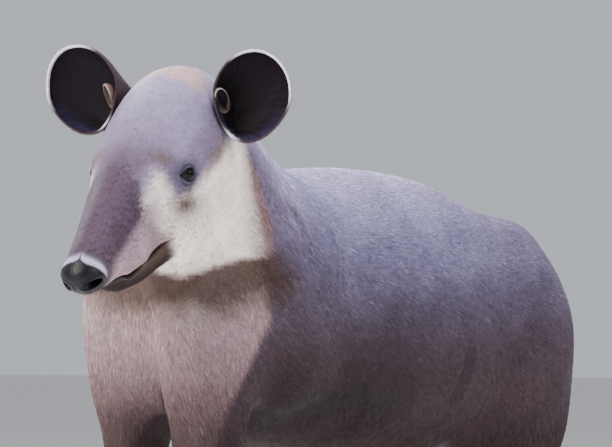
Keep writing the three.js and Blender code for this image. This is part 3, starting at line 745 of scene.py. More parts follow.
def pale_share(p):
    """1 on the pale throat and chest, 0 on the dark coat behind them"""
    turn = math.radians(20) * rise(p[:, 2], 600, 760)
    ahead = (p[:, 0] - 30) * np.sin(turn) - (p[:, 1] + 78) * np.cos(turn)
    edge = np.interp(p[:, 2], PALE_EDGE[:, 0], PALE_EDGE[:, 1])
    edge = edge - 122 * rise(-p[:, 2], -560, -430) * rise(-p[:, 0], -20, 60)
    return ahead - edge + 5 * wavy(p, 60, 3) + 2.5 * wavy(p, 17, 4)


def lay(tone, mask, new):
    """Lays a colour over the paint, as thick as the mask says"""
    tone += (new - tone) * np.clip(mask, 0, 1)[:, None]


def paint_body(tone, p, up):
    """Dark trunk and legs, with painted shade where the trunk faces down and low on the belly, and painted
    sky sheen that makes the back and the neck paler where they face up
    """
    uneven = wavy(p, 90, 1)
    height, behind = p[:, 2], p[:, 1]
    # Painted shade: the trunk darker where it faces down, and darkest low on the belly just behind the
    # forelegs
    lay(tone, rise(-up, -0.1, 0.5) * 0.8, UNDERSIDE_SHADE_BROWN)
    lay(tone, rise(-height, -560, -420) * rise(230 - np.abs(behind - 120), 0, 120) * 0.95, UNDERSIDE_SHADE_BROWN * 0.6)
    shoulder = rise(-np.abs(behind + 30), -190, -60) * rise(height, 430, 560) * rise(-height, -700, -600)
    lay(tone, shoulder * 0.75, SHOULDER_BROWN)
    # Painted sheen: sky light on the coat, violet over the back and upper sides and paler where they face up
    lay(tone, rise(up + 0.05 * uneven, -0.6, 0.72) * rise(height, 440, 680) * 0.95, SKY_SHEEN_VIOLET)
    lay(tone, rise(up, 0.5, 1) * rise(height, 640, 780) * 0.6, SKY_SHEEN_PALE)
    # The rump turns halfway back to plain body brown, which dulls the painted sheen there
    lay(tone, rise(behind, 380, 700) * 0.5, BODY_BROWN)
    neck = rise(height - 0.9 * behind, 640, 800) * rise(-behind, -40, 30)
    lay(tone, neck * 0.8, NECK_VIOLET)
    # Painted sheen of sky light on the top of the neck
    lay(tone, neck * rise(up, 0.0, 0.7) * 0.9, SKY_SHEEN_PALE)
    lay(tone, rise(-height, -440, -330), LEG_BROWN)


def paint_chest(tone, p, up):
    """Cream throat that turns beige on the chest and brown on the legs, edged with orange on the neck"""
    uneven = wavy(p, 90, 1)
    height = p[:, 2]
    from_edge = pale_share(p)
    lay(tone, bump_at(from_edge, -4, 13) * rise(height, 560, 720) * 0.5, BORDER_ORANGE)
    chest = np.tile(THROAT_CREAM, (len(p), 1))
    lay(chest, rise(-height + 20 * uneven, -630, -520), CHEST_BEIGE)
    lay(chest, rise(-height + 25 * uneven, -600, -430) * 0.75, CHEST_BROWN)
    lay(chest, rise(-height, -500, -380) * 0.85, LEG_BROWN * 1.4)
    lay(tone, rise(from_edge, -4, 22) * rise(height, 180, 420) * rise(-up, -0.9, -0.3), chest)
    lay(tone, bump_at(from_edge, 16, 14) * rise(height, 500, 620) * 0.2, BORDER_ORANGE)


def paint_face(tone, p, h, up):
    """Grey forehead, red crown, cream cheeks, and the dark snout with its pinker sides, with painted sky
    sheen on the crown and painted shadow under the jaw
    """
    head, fine, speckle = on_head(p), wavy(p, 26, 2), wavy(p, 7, 8)
    x, ahead, z = np.abs(h[:, 0]), -h[:, 1], h[:, 2]
    lay(tone, head * rise(z, -70, -20), FOREHEAD_GREY)
    # Painted sheen of sky light where the crown and nape face up
    lay(tone, head * rise(up, 0.2, 0.9) * rise(-ahead, -60, 40) * 0.6, SKY_SHEEN_PALE)
    below_jaw = -z - np.interp(ahead, JAW_EDGE[:, 0], JAW_EDGE[:, 1])
    lay(tone, head * rise(-z + 5 * fine, 8, 44) * rise(-below_jaw, -14, 4), CHEEK_CREAM)
    lay(tone, head * bump_at(z, -18, 16) * bump_at(ahead, -70, 34) * 0.8, STRIPE_BROWN)
    before_eye = rise(ahead + 6 * speckle, 34, 60) * rise(-z + 4 * fine + 7 * speckle, -42, -14)
    lay(tone, head * before_eye * rise(x, 30, 50) * 0.9, CHEEK_CREAM)
    edge = np.interp(z, SNOUT_EDGE[:, 0], SNOUT_EDGE[:, 1])
    snout = rise(ahead - edge + 4 * fine + 7 * speckle, -16, 16)
    over = rise(z + 0.4 * (40 - x), 34, 58) * rise(ahead, -20, 70)
    lay(tone, head * np.maximum(snout, over * 0.8), SNOUT_MAUVE)
    side = rise(-z + 1.2 * (x - 36) + 4 * speckle, 0, 26) * rise(ahead, 60, 110) * rise(-ahead, -236, -205)
    lay(tone, head * side * 0.9, MUZZLE_PINK)
    mottle = rise(wavy(p, 8, 12) + 0.5 * speckle, 0.1, 1.2) * rise(z, -50, 0)
    lay(tone, head * snout * mottle * 0.75, SNOUT_MAUVE * 0.4)
    freckles = rise(wavy(p, 6, 9) + 0.4 * wavy(p, 30, 10), 0.5, 1.0) * rise(-z, -40, 10) * rise(ahead, -90, 0)
    lay(tone, head * freckles * 0.6, STRIPE_BROWN * 0.8)
    lay(tone, head * rise(-ahead + 8 * fine, 108, 150) * rise(z, 30, 62), CROWN_RED)
    # Painted shadow under the jaw, over the throat's own brown hair
    jaw_shadow = rise(below_jaw + 3 * fine, -4, 8) * rise(-below_jaw, -125, -40)
    lay(tone, jaw_shadow * rise(170 - np.abs(ahead - 20), 0, 70) * 0.9, JAW_SHADOW_BROWN)
    for spot, size in FACE_SPOTS:
        lay(tone, bump_at(np.linalg.norm(h - np.array(spot), axis=1), 0, size) * 0.8, SMUDGE * 0.4)


def paint_lids(tone, p, h):
    """Blue-grey skin round the eyes with smudges below and before it; tells how bare it is"""
    speckle = wavy(p, 7, 8)
    bare = np.zeros(len(p))
    for eye in EYES.values():
        u, v, w = eye_places(h, eye)
        near = w > -30
        out = beyond_lids(u, v)
        lay(tone, near * bump_at(np.hypot((u - 12) / 38, (v + 2) / 28) ** 2, 0, 1) * 0.9, EYE_PATCH)
        below = np.hypot((u - 2 + 5 * speckle) / 34, (v + 46 + 5 * speckle) / 20)
        lay(tone, near * bump_at(below, 0, 1) * 0.95, SMUDGE * 0.7)
        lay(tone, near * bump_at(np.hypot((u - 44) / 20, (v - 27) / 12), 0, 1) * 0.8, SMUDGE)
        lay(tone, near * rise(-out, -9, -3), LID_SKIN)
        lay(tone, near * rise(-out, -2.2, -0.8), NOSE_BLACK)
        bare = np.maximum(bare, near * rise(-out, -9, -4) * 0.8)
    return bare


def paint_mouth(tone, p, h):
    """Pink upper lip and dark lower lip, blackest at the chin and underneath; tells how bare they are"""
    ahead = -h[:, 1]
    from_mouth = h[:, 2] - mouth_line(ahead)
    along = rise(ahead, MOUTH_CORNER - 12, MOUTH_CORNER + 4) * rise(-ahead, -236, -222)
    lay(tone, along * bump_at(from_mouth, 6, 5) * 0.7, LIP_PINK)
    lower = along * rise(-from_mouth, -1, 1.5) * rise(from_mouth, -46, -34)
    lay(tone, lower, LIP_TAN)
    darkest = np.maximum(rise(ahead, 150, 195), rise(-from_mouth + 3 * wavy(p, 7, 8), 12, 28))
    lay(tone, lower * darkest, LIP_DARK)
    # Painted shade: a thin black line in the groove of the closed mouth
    lay(tone, along * bump_at(from_mouth, 0, 1.6), NOSE_BLACK)
    return along * bump_at(from_mouth, -2, 8) * 0.7


def paint_nose(tone, p, h):
    """Black nose pad under a painted highlight along its rim, parted in the middle; tells how bare it is"""
    z = h[:, 2]
    rim = -h[:, 1] - (252 + 0.25 * z) + 5 * bump_at(h[:, 0], 3, 5) * rise(z, -5, 12)
    rim = np.where(on_head(p) > 0.5, rim, -100)
    # Painted highlight: a pale bluish line along the rim above the nose pad
    lay(tone, bump_at(rim, -6, 6) * rise(z, -24, 2), SNOUT_RIM_HIGHLIGHT)
    lay(tone, bump_at(h[:, 0], 3, 1.8) * rise(rim, -22, -4) * rise(z, -5, 12), NOSE_BLACK)
    lay(tone, rise(rim + wavy(p, 26, 2), -1.5, 1.0), NOSE_BLACK)
    return rise(rim, -3, 3)


def paint_by_ears(tone, h):
    """Dark skin in the hollow of each ear; tells how bare it is"""
    bare = np.zeros(len(h))
    for middle, _, long, faces in EARS.values():
        q = h - np.array(middle)
        faces, long = unit(faces), unit(long)
        aside = np.linalg.norm(q - np.outer(q @ faces, faces) - np.outer(q @ long, long), axis=1)
        inside = rise(1 - np.hypot(aside / 60, (q @ long) / 71), -0.02, 0.06) * rise(-(q @ faces), -4, 4)
        lay(tone, inside, EAR_DARK)
        bare = np.maximum(bare, inside)
    return bare


def paint(p, n):
    """Colour of hair or skin with its painted sheen and shade, and how bare the skin is, at body points with
    their normals
    """
    h = to_head(p)
    up = n[:, 2]
    tone = np.tile(BODY_BROWN, (len(p), 1))
    paint_body(tone, p, up)
    paint_chest(tone, p, up)
    paint_face(tone, p, h, up)
    bare = paint_lids(tone, p, h)
    bare = np.maximum(bare, paint_mouth(tone, p, h))
    bare = np.maximum(bare, paint_nose(tone, p, h))
    bare = np.maximum(bare, paint_by_ears(tone, h))
    return tone * (1 + 0.10 * wavy(p, 90, 1) + 0.06 * wavy(p, 26, 2))[:, None], bare


def hair_way(p, n):
    """The way the coat lies: from the nose back over the head, down the neck and legs, back along the body"""
    drop = -0.65 * rise(-n[:, 2], -0.8, 0.2)
    way = np.column_stack([np.zeros(len(p)), np.full(len(p), 0.9), drop])
    head = on_head(p)[:, None]
    down = rise(-p[:, 2], -470, -360)[:, None]
    way = way * (1 - down) + down * np.array([0, 0.1, -1])
    front = (rise(pale_share(p), -30, 40) * rise(p[:, 2], 330, 430))[:, None]
    outwards = np.column_stack([0.35 * np.sign(p[:, 0] - 30), np.full(len(p), 0.15), np.full(len(p), -1)])
    way = way * (1 - front) + front * outwards
    neck = (rise(p[:, 2] - 0.9 * p[:, 1], 640, 800) * rise(-p[:, 1], -60, 20))[:, None]
    way = way * (1 - neck) + neck * np.array([0, 0.55, -0.75])
    h = to_head(p)
    drop = 0.1 - 0.35 * rise(-h[:, 2], 0, 60)
    over_head = np.column_stack([0.12 * np.sign(h[:, 0]), np.ones(len(p)), drop])
    way = way * (1 - head) + head * (over_head @ HEAD_TURNING.T)
    way -= n * (way * n).sum(1)[:, None]
    return way / np.linalg.norm(way, axis=1)[:, None].clip(1e-6)


def set_colours(mesh, tone, bare):
    """Keeps the paint on the mesh: its colour, and how bare it is"""
    tones = mesh.attributes.new("Tone", "FLOAT_COLOR", "POINT")
    solid = np.column_stack([tone, np.ones(len(tone))])
    tones.data.foreach_set("color", solid.astype(np.float32).ravel())
    share = mesh.attributes.new("Bare", "FLOAT", "POINT")
    share.data.foreach_set("value", np.asarray(bare, np.float32))


def add_node(tree, kind, inputs=None, **settings):
    """A shader node with its settings and inputs, each either a value or another node's output"""
    made = tree.nodes.new("ShaderNode" + kind)
    for name, value in settings.items():
        setattr(made, name, value)
    for name, value in (inputs or {}).items():
        if isinstance(value, bpy.types.NodeSocket):
            tree.links.new(value, made.inputs[name])
        else:
            made.inputs[name].default_value = value
    return made


def new_material(name):
    material = bpy.data.materials.new(name)
    material.use_nodes = True
    return material, material.node_tree, material.node_tree.nodes["Principled BSDF"]


def noise(tree, vector, scale, detail, roughness=0.5):
    settings = {"Vector": vector, "Scale": scale, "Detail": detail, "Roughness": roughness}
    return add_node(tree, "TexNoise", settings).outputs[0]


def map_range(tree, value, low, high, start=0.0, end=1.0):
    """The value's share of the way from start to end, as a value between low and high"""
    ranges = {"Value": value, "From Min": start, "From Max": end, "To Min": low, "To Max": high}
    return add_node(tree, "MapRange", ranges).outputs[0]


def skin_material(name, strength):
    """Short-haired skin: painted colour broken up by grain, duller where haired and glossier where bare"""
    material, tree, shader = new_material(name)
    tone = add_node(tree, "Attribute", attribute_name="Tone").outputs["Color"]
    bare = add_node(tree, "Attribute", attribute_name="Bare").outputs["Fac"]
    place = add_node(tree, "TexCoord").outputs["Object"]
    stretched = add_node(tree, "Mapping", {"Vector": place, "Scale": (1.0, 0.35, 0.6)})
    hairs = noise(tree, stretched.outputs[0], 900.0, 3.0, 0.6)
    blotches = noise(tree, place, 70.0, 5.0, 0.65)
    pebbles = add_node(tree, "TexVoronoi", {"Vector": place, "Scale": 620.0}, feature="SMOOTH_F1")
    light = map_range(tree, hairs, 0.72, 1.28, 0.3, 0.7)
    patchy = map_range(tree, blotches, 0.86, 1.14, 0.3, 0.7)
    both = add_node(tree, "Math", {0: light, 1: patchy}, operation="MULTIPLY")
    scaled = add_node(tree, "VectorMath", {0: tone, "Scale": both.outputs[0]}, operation="SCALE")
    tree.links.new(scaled.outputs[0], shader.inputs["Base Color"])
    gloss = add_node(tree, "Math", {0: map_range(tree, bare, 0.62, 0.36), 1: patchy}, operation="MULTIPLY")
    tree.links.new(gloss.outputs[0], shader.inputs["Roughness"])
    relief = add_node(tree, "Mix", {"Factor": bare, "A": hairs, "B": pebbles.outputs["Distance"]})
    bump = add_node(tree, "Bump", {"Strength": strength, "Distance": 0.0012, "Height": relief.outputs[0]})
    tree.links.new(bump.outputs[0], shader.inputs["Normal"])
    tree.links.new(map_range(tree, bare, 0.1, 0.28), shader.inputs["Specular IOR Level"])
    return material


def put(name, mesh, material, slot, *nodes):
    """A piece in the scene that rides on the body and stands for its nodes"""
    piece = bpy.data.objects.new(name, mesh)
    bpy.context.scene.collection.objects.link(piece)
    piece.data.materials.append(material)
    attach(piece, "root")
    if nodes:
        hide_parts(*nodes)
    return piece


# The mesh stays in millimetres until the coat has been drawn from it
hide_normals = normals_of(hide_mesh)
hide_tone, hide_bare = paint(p, hide_normals)
set_colours(hide_mesh, hide_tone * (1 - 0.06 * (1 - hide_bare))[:, None], hide_bare)


def draw_roots(mesh, count, seed, weight):
    """Points spread over the hide, denser where the weight is more, with their normals"""
    mesh.calc_loop_triangles()
    flat = np.empty(len(mesh.loop_triangles) * 3, np.int32)
    mesh.loop_triangles.foreach_get("vertices", flat)
    triangles = flat.reshape(-1, 3)
    a, b, c = (p[triangles[:, n]] for n in range(3))
    area = np.linalg.norm(np.cross(b - a, c - a), axis=1) / 2
    steps = np.cumsum(area * weight[triangles].mean(1))
    rng = np.random.default_rng(seed)
    at = np.searchsorted(steps, rng.uniform(0, steps[-1], count)).clip(0, len(triangles) - 1)
    u, v = rng.random((2, count))
    over = u + v > 1
    u[over], v[over] = 1 - u[over], 1 - v[over]
    share = np.column_stack([1 - u - v, u, v])[:, :, None]
    corner = triangles[at]
    normal = (hide_normals[corner] * share).sum(1)
    return (p[corner] * share).sum(1), normal / np.linalg.norm(normal, axis=1)[:, None], rng


# Coat: short hair that lies close along the body, as fine tapering tufts rooted in the hide.
# It grows in six pieces, longest on the trunk and thickest on the face.
TUFTS = 300000


def coat_lengths(p):
    """Length of the hair: shortest on the face and feet"""
    h = to_head(p)
    face = on_head(p)
    length = 13 - 8 * face
    length -= 2.2 * face * rise(-h[:, 1], 60, 200)
    length -= 4.5 * rise(-p[:, 2], -420, -150) * (1 - face)
    return length


def coat_region(p):
    """Number of the coat's piece that a root belongs to, in the order of their names"""
    head = on_head(p) > 0.5
    leg = p[:, 2] < 415
    neck = (p[:, 2] - 0.9 * p[:, 1] > 700) & (p[:, 1] < 0)
    region = np.where(p[:, 0] > 0, 2, 3)
    region = np.where(neck, 1, region)
    region = np.where(leg, np.where(p[:, 1] < 330, 4, 5), region)
    return np.where(head, 0, region)


COAT_NAMES = ["coat_head", "coat_neck", "coat_left", "coat_right", "coat_forelegs", "coat_hind_legs"]


def unwrap(p, region):
    """Place of a root on its piece of the hide laid flat: angle round it, and distance along it"""
    if region == 0:
        h = to_head(p)
        turn = np.arctan2(h[:, 0], h[:, 2] + 30) / (2 * np.pi) + 0.5
        return np.column_stack([turn, (-h[:, 1] + 215) / 510])
    if region == 1:
        q = p - np.array([45, -115, 730])
        along = unit([0.25, -0.72, 0.62])
        turn = np.arctan2(q[:, 0], -q[:, 1] - q[:, 2]) / (2 * np.pi) + 0.5
        return np.column_stack([turn, (q @ along + 260) / 520])
    if region in (2, 3):
        turn = np.arctan2(np.abs(p[:, 0]), p[:, 2] - 570) / np.pi
        return np.column_stack([turn, (p[:, 1] + 270) / 1200])
    left = p[:, 0] > 0
    middle = np.where(left, -170, -40) if region == 4 else 730
    turn = np.arctan2(np.abs(p[:, 0]) - 115, p[:, 1] - middle) / (2 * np.pi) + 0.5
    return np.column_stack([(left + turn) / 2, p[:, 2] / 440])


weight = 1 + 3.2 * on_head(p) + 0.3 * rise(-p[:, 2], -420, -300)
weight *= (1 - hide_bare) ** 2 * (1 - rise(-p[:, 2], -14, -6))
roots, normals, rng = draw_roots(hide_mesh, TUFTS, 11, weight)
regions = coat_region(roots)


# Faces of a tuft between its two corners in the skin, its back and its tip, and how light each of these is
TUFT_FACES = np.array([[0, 3, 2], [2, 3, 1], [1, 3, 0], [0, 2, 1]])
TUFT_LIGHT = np.array([0.92, 0.92, 1.0, 1.18])
# Its patch on the flat hide, and how close to the edge of that a patch may come
TUFT_PATCH = np.array([[-1, -1], [1, -1], [0, 0], [0, 1]]) * 0.0015
PATCH_MARGIN = 0.003


def tufts(name, root, normal, way, length, width, lift, tone, flat):
    """Three-sided spikes that leave the skin at a low angle and taper to a point"""
    count = len(root)
    length, width, lift = (np.asarray(v)[:, None] for v in (length, width, lift))
    across = np.cross(normal, way)
    tip = root + way * length + normal * (length * lift)
    sunk = root - normal * 0.3
    half = across * width / 2
    corners = np.stack([sunk - half, sunk + half, sunk + normal * (0.5 * width), tip], 1)
    faces = (TUFT_FACES + np.arange(count)[:, None, None] * 4).reshape(-1, 3)
    mesh = new_mesh(name, placed(corners.reshape(-1, 3)), faces)
    shade = tone[:, None] * TUFT_LIGHT[None, :, None]
    set_colours(mesh, shade.reshape(-1, 3).clip(0, 1), np.zeros(count * 4))
    corner_uv = (flat.clip(PATCH_MARGIN, 1 - PATCH_MARGIN)[:, None] + TUFT_PATCH).reshape(-1, 2)
    layer = mesh.uv_layers.new(name="OFBake")
    layer.data.foreach_set("uv", corner_uv[faces.ravel()].astype(np.float32).ravel())
    leaning = np.stack([-across, across, normal, normal + way * 0.2], 1)
    shading = (normal[:, None] * 0.88 + leaning * 0.12).reshape(-1, 3)
    mesh.normals_split_custom_set_from_vertices(shading / np.linalg.norm(shading, axis=1)[:, None])
    return mesh


def grow_coat(name, root, normal, region, rng):
    """One piece of the coat, its tufts a little crossed and uneven in length and colour"""
    count = len(root)
    way = hair_way(root, normal)
    way = way + np.cross(normal, way) * rng.normal(0, 0.22, count)[:, None]
    way /= np.linalg.norm(way, axis=1)[:, None]
    length = coat_lengths(root) * rng.uniform(0.7, 1.25, count)
    width = 0.085 * length * rng.uniform(0.7, 1.3, count)
    lightness = rng.lognormal(0, 0.3, count) * (1 + 0.2 * wavy(root, 9, 5))
    tone = paint(root, normal)[0] * lightness[:, None]
    lift = 0.03 + 0.07 * rng.random(count)
    return tufts(name, root, normal, way, length, width, lift, tone, unwrap(root, region))


coat_material = skin_material("coat", 0.15)
for number, name in enumerate(COAT_NAMES):
    mine = regions == number
    put(name, grow_coat(name, roots[mine], normals[mine], number, rng), coat_material, "coat")

# The hide itself is moved to the frame last, as the coat's roots were drawn from it
set_corners(hide_mesh, placed(p))
put("hide", hide_mesh, skin_material("hide", 0.35), "coat", "torso", "neck", "head", "proboscis", "lower_jaw",
    "tail", "leg_fore_left", "leg_fore_right", "leg_hind_left", "leg_hind_right")

# Eyes: dark brown balls that fill the lids, with a clear bulge over the iris and a wet shine.
# Each is one smooth solid set behind the lids; a paler white shows only at the back corner.
# Half angles of iris and pupil as seen from the ball's middle, and how far the clear front bulges.
IRIS_SIZE, PUPIL_SIZE, CLEAR_BULGE, EYE_SIDES = 0.66, 0.27, 0.9, 96
IRIS_BROWN, EYE_WHITE, EYE_DARK = colour(12, 7, 6), colour(225, 205, 215), colour(30, 21, 20)


def closed_loft(rings):
    """Corners and triangles of rings joined one to the next, both ends closed on their middle"""
    count, sides = rings.shape[:2]
    n, i = np.meshgrid(np.arange(count - 1), np.arange(sides), indexing="ij")
    a, b = (n * sides + i).ravel(), (n * sides + (i + 1) % sides).ravel()
    walls = np.concatenate([np.stack([a, b, b + sides], 1), np.stack([a, b + sides, a + sides], 1)])
    first, last = count * sides, count * sides + 1
    i = np.arange(sides)
    j, end = (i + 1) % sides, (count - 1) * sides
    fans = np.concatenate([
        np.stack([j, i, np.full(sides, first)], 1),
        np.stack([end + i, end + j, np.full(sides, last)], 1),
    ])
    corners = np.concatenate([rings.reshape(-1, 3), [rings[0].mean(0)], [rings[-1].mean(0)]])
    faces = np.concatenate([walls, fans])
    a, b, c = (corners[faces[:, n]] - corners.mean(0) for n in range(3))
    return corners, faces if (a * np.cross(b, c)).sum() > 0 else faces[:, ::-1]


def with_ends(tones):
    """Colours of the rings' corners, then those of the two closing middles"""
    return np.concatenate([tones.reshape(-1, 3), tones[0, :1], tones[-1, :1]])


eye_material, tree, shader = new_material("eye")
tone = add_node(tree, "Attribute", attribute_name="Tone")
grain = noise(tree, add_node(tree, "TexCoord").outputs["Object"], 1500.0, 4.0)
light = map_range(tree, grain, 0.75, 1.25, 0.3, 0.7)
scaled = add_node(tree, "VectorMath", {0: tone.outputs["Color"], "Scale": light}, operation="SCALE")
tree.links.new(scaled.outputs[0], shader.inputs["Base Color"])
shader.inputs["Roughness"].default_value = 0.03
shader.inputs["Specular IOR Level"].default_value = 0.12
for name, (middle, across, up, way) in EYES.items():
    polar = np.concatenate([np.linspace(0.012, 1.0, 70), np.linspace(1.03, 3.1, 40)])
    turn = np.linspace(0, 2 * np.pi, EYE_SIDES, endpoint=False)
    radius = EYE_RADIUS - 0.35 + CLEAR_BULGE * rise(-polar, -IRIS_SIZE - 0.05, -0.2)
    out = np.outer(np.cos(polar) * radius, np.ones(EYE_SIDES))
    u, v = (np.outer(np.sin(polar) * radius, part) for part in (np.cos(turn), np.sin(turn)))
    corners, faces = closed_loft(middle + out[..., None] * way + u[..., None] * across + v[..., None] * up)
    streaks = 1 + 0.35 * np.sin(23 * turn + 2 * np.sin(5 * turn)) * np.sin(41 * turn + 1)
    angle = polar[:, None, None]
    iris = IRIS_BROWN * streaks[None, :, None] * (1.25 - 0.5 * rise(angle, 0.3, IRIS_SIZE))
    white = EYE_DARK + (EYE_WHITE - EYE_DARK) * rise(-u, 9.0, 11.5)[..., None]
    shade = iris + (white - iris) * rise(angle, IRIS_SIZE - 0.04, IRIS_SIZE + 0.05)
    shade = shade * rise(angle, PUPIL_SIZE - 0.03, PUPIL_SIZE + 0.03) + 0.002
    shade = with_ends(shade)
    mesh = new_mesh("eyeball_" + name, placed(from_head(corners)), faces)
    set_colours(mesh, shade, np.zeros(len(shade)))
    put("eyeball_" + name, mesh, eye_material, "eye", "eye_" + name)

# Ears: round upright cups of cartilage, dark inside, with a thin white edge.
# Each stands on the side of the crown, short-haired behind, with a small folded flap in front of its canal.
# From the edge back to the root: share of the way, half width, half length
EAR_RINGS = [
    [0, 60, 71],
    [0.12, 58.5, 69],
    [0.3, 52, 61],
    [0.5, 42, 50],
    [0.72, 31, 37],
    [1, 22, 26],
    [1.03, 22, 26],
]
EAR_DEPTH, EAR_WALL, EAR_SIDES = 42, 3.4, 180
# Rings behind the ear, round its edge and inside it
BACK_RINGS, EDGE_RINGS, INNER_RINGS = 34, 7, 40
# Place of each flap in the head's own frame, its radii and its turn
FLAPS = {"left": (84, 141, 30), "right": (-101, 141, 38)}
FLAP_RADII, FLAP_TURN = (11, 10, 22), 0.35
EAR_BACK = colour(62, 48, 52)
EAR_SHEEN_BLUE = colour(56, 54, 84)
EAR_EDGE = colour(236, 230, 238)
EAR_FRINGE = colour(196, 150, 130)
FLAP_EDGE = colour(176, 168, 170)
HAIRS_BEHIND, HAIRS_ON_EDGE = 7000, 1600


def ear_rings(name):
    """Rings from the root, over the edge and down into the cup, with their colours"""
    middle, root, long, faces = (np.array(v, float) for v in EARS[name])
    side = np.sign(middle[0])
    faces = unit(faces)
    long = unit(long - faces * (long @ faces))
    wide = np.cross(faces, long) * -side
    sizes = smooth_line(EAR_RINGS, 240)
    bend = middle - faces * EAR_DEPTH
    turn = np.linspace(0, 2 * np.pi, EAR_SIDES, endpoint=False)
    narrow = 1 - 0.16 * (-np.sin(turn)).clip(0)
    top = rise(np.cos(turn - 1.13), 0.2, 0.75)[:, None]
    notch = bump_at(np.angle(np.exp(1j * (turn + 1.95))), 0, 0.2)[:, None]
    low = rise(-np.sin(turn), -0.3, 0.8)[:, None]
    streaks = (0.5 + 0.5 * np.sin(37 * turn + 3 * np.sin(7 * turn)) * np.sin(19 * turn + 1))[:, None]
    rings, tones = [], []

    def ring(share, grow, tone, forward=0.0, shrink=1.0):
        centre = (1 - share) ** 2 * middle + 2 * share * (1 - share) * bend + share**2 * root
        width, length = (np.interp(share, sizes[:, 0], sizes[:, n]) for n in (1, 2))
        wave = (0.9 * np.sin(5 * turn + 1) + 0.6 * np.sin(9 * turn)) * (1 - share) ** 3
        curl = (-3 * np.cos(2 * turn) + wave) * (1 - share) + forward
        rings.append(centre + np.outer((width + grow) * shrink * np.cos(turn) * narrow, wide)
                     + np.outer((length + grow) * shrink * np.sin(turn), long) + np.outer(curl, faces))
        tones.append(tone * np.ones((EAR_SIDES, 1)))

    for share in np.linspace(1.0, 0.02, BACK_RINGS):
        ring(share, 0, EAR_BACK * (1 + 0.25 * streaks))
    for lean in np.linspace(0, np.pi, EDGE_RINGS):
        edge = EAR_BACK + (EAR_EDGE - EAR_BACK) * np.maximum(top, notch)
        ring(0, -EAR_WALL / 2 * (1 - math.cos(lean)), edge, EAR_WALL / 2 * math.sin(lean))
    for share in np.linspace(0.02, 0.62, INNER_RINGS):
        # Painted sheen: a bluish sheen over the lower part of the dark hollow
        blue = low * rise(-share, -0.5, -0.1) * 0.75 * (0.55 + 0.45 * streaks)
        inner = EAR_DARK * (1 + 0.5 * streaks) + (EAR_SHEEN_BLUE - EAR_DARK) * blue
        pale = np.maximum(top * rise(-share, -0.05, -0.02), notch * rise(-share, -0.16, -0.08))
        ridges = 0.5 * np.sin(26 * turn + 2 * np.sin(3 * turn)) * rise(share, 0.03, 0.2)
        ring(share, -EAR_WALL - ridges, inner + (EAR_EDGE - inner) * pale)
    for shrink in np.linspace(0.95, 0.04, 12):
        ring(0.62 + 0.1 * math.sqrt(1 - shrink**2), -EAR_WALL, EAR_DARK, shrink=shrink)
    return np.array(rings), np.array(tones)


def ear_flap(name):
    """The folded flap in front of the canal: a hollow lobe with a pale edge"""
    side = 1 if name == "left" else -1
    at = np.array(FLAPS[name])
    polar, turn = np.linspace(0.05, np.pi - 0.05, 60), np.linspace(0, 2 * np.pi, 60, endpoint=False)
    x, y = (np.outer(np.sin(polar), part) for part in (np.cos(turn), np.sin(turn)))
    ball = np.stack([x, y, np.outer(np.cos(polar), np.ones(60))], -1)
    forward = -ball[..., 1] + 0.35 * side * ball[..., 0]
    hollow = rise(forward, 0.35, 0.75)
    edge = bump_at(forward, 0.3, 0.12)[..., None]
    ball = ball * np.array(FLAP_RADII) * (1 + 0.06 * edge)
    ball[..., 1] += 13 * hollow
    rings = ball @ turned(z=side * FLAP_TURN)[2].T + at
    outside = STRIPE_BROWN * 0.8
    tone = outside + (EAR_DARK - outside) * hollow[..., None]
    return rings, tone + (FLAP_EDGE - tone) * edge * rise(ball[..., 2:], -6, 14)


ear_material = skin_material("ear", 0.3)
for number, name in enumerate(EARS):
    corners, faces, tones = np.empty((0, 3)), np.empty((0, 3), int), np.empty((0, 3))
    for rings, shade in (ear_rings(name), ear_flap(name)):
        new_corners, new_faces = closed_loft(rings)
        faces = np.concatenate([faces, new_faces + len(corners)])
        corners = np.concatenate([corners, new_corners])
        tones = np.concatenate([tones, with_ends(shade)])
    corners = from_head(corners)
    mesh = new_mesh("ear_cup_" + name, corners, faces)
    ear_normals = normals_of(mesh)
    set_corners(mesh, placed(corners))
    set_colours(mesh, tones, np.zeros(len(tones)))
    put("ear_cup_" + name, mesh, ear_material, "ear_skin", "ear_" + name)

    rng = np.random.default_rng(30 + number)
    behind = rng.integers(EAR_SIDES * 4, EAR_SIDES * (BACK_RINGS - 1), HAIRS_BEHIND)
    fringe = rng.integers(EAR_SIDES * BACK_RINGS, EAR_SIDES * (BACK_RINGS + 4), HAIRS_ON_EDGE)
    root = np.concatenate([behind, fringe])
    on_edge = np.arange(len(root)) >= len(behind)
    normal, faces_way = ear_normals[root], unit(HEAD_TURNING @ np.array(EARS[name][3]))
    way = faces_way + 0.25 * rng.normal(size=(len(root), 3))
    way = np.where(on_edge[:, None], normal + 0.5 * way, way)
    way -= np.where(on_edge, 0, (way * normal).sum(1))[:, None] * normal
    way /= np.linalg.norm(way, axis=1)[:, None]
    around = (root % EAR_SIDES) / EAR_SIDES
    fair = rise(np.cos(2 * np.pi * around - 1.3), -0.1, 0.7)[:, None]
    tone = tones[root] * rng.lognormal(0, 0.25, len(root))[:, None]
    outer = rise(np.cos(2 * np.pi * around - 0.4), -0.5, 0.3)[:, None]
    fringe_tone = (EAR_FRINGE + (EAR_EDGE - EAR_FRINGE) * fair) * outer + 0.01
    tone = np.where(on_edge[:, None], fringe_tone, tone)
    flat = np.column_stack([around, root / (EAR_SIDES * 40)])
    length = np.where(on_edge, 3.2, 6.5) * rng.uniform(0.6, 1.2, len(root))
    lift = np.full(len(root), 0.08)
    hair = tufts("ear_hair_" + name, corners[root], normal, way, length, 0.1 * length, lift, tone, flat)
    put("ear_hair_" + name, hair, coat_material, "coat")

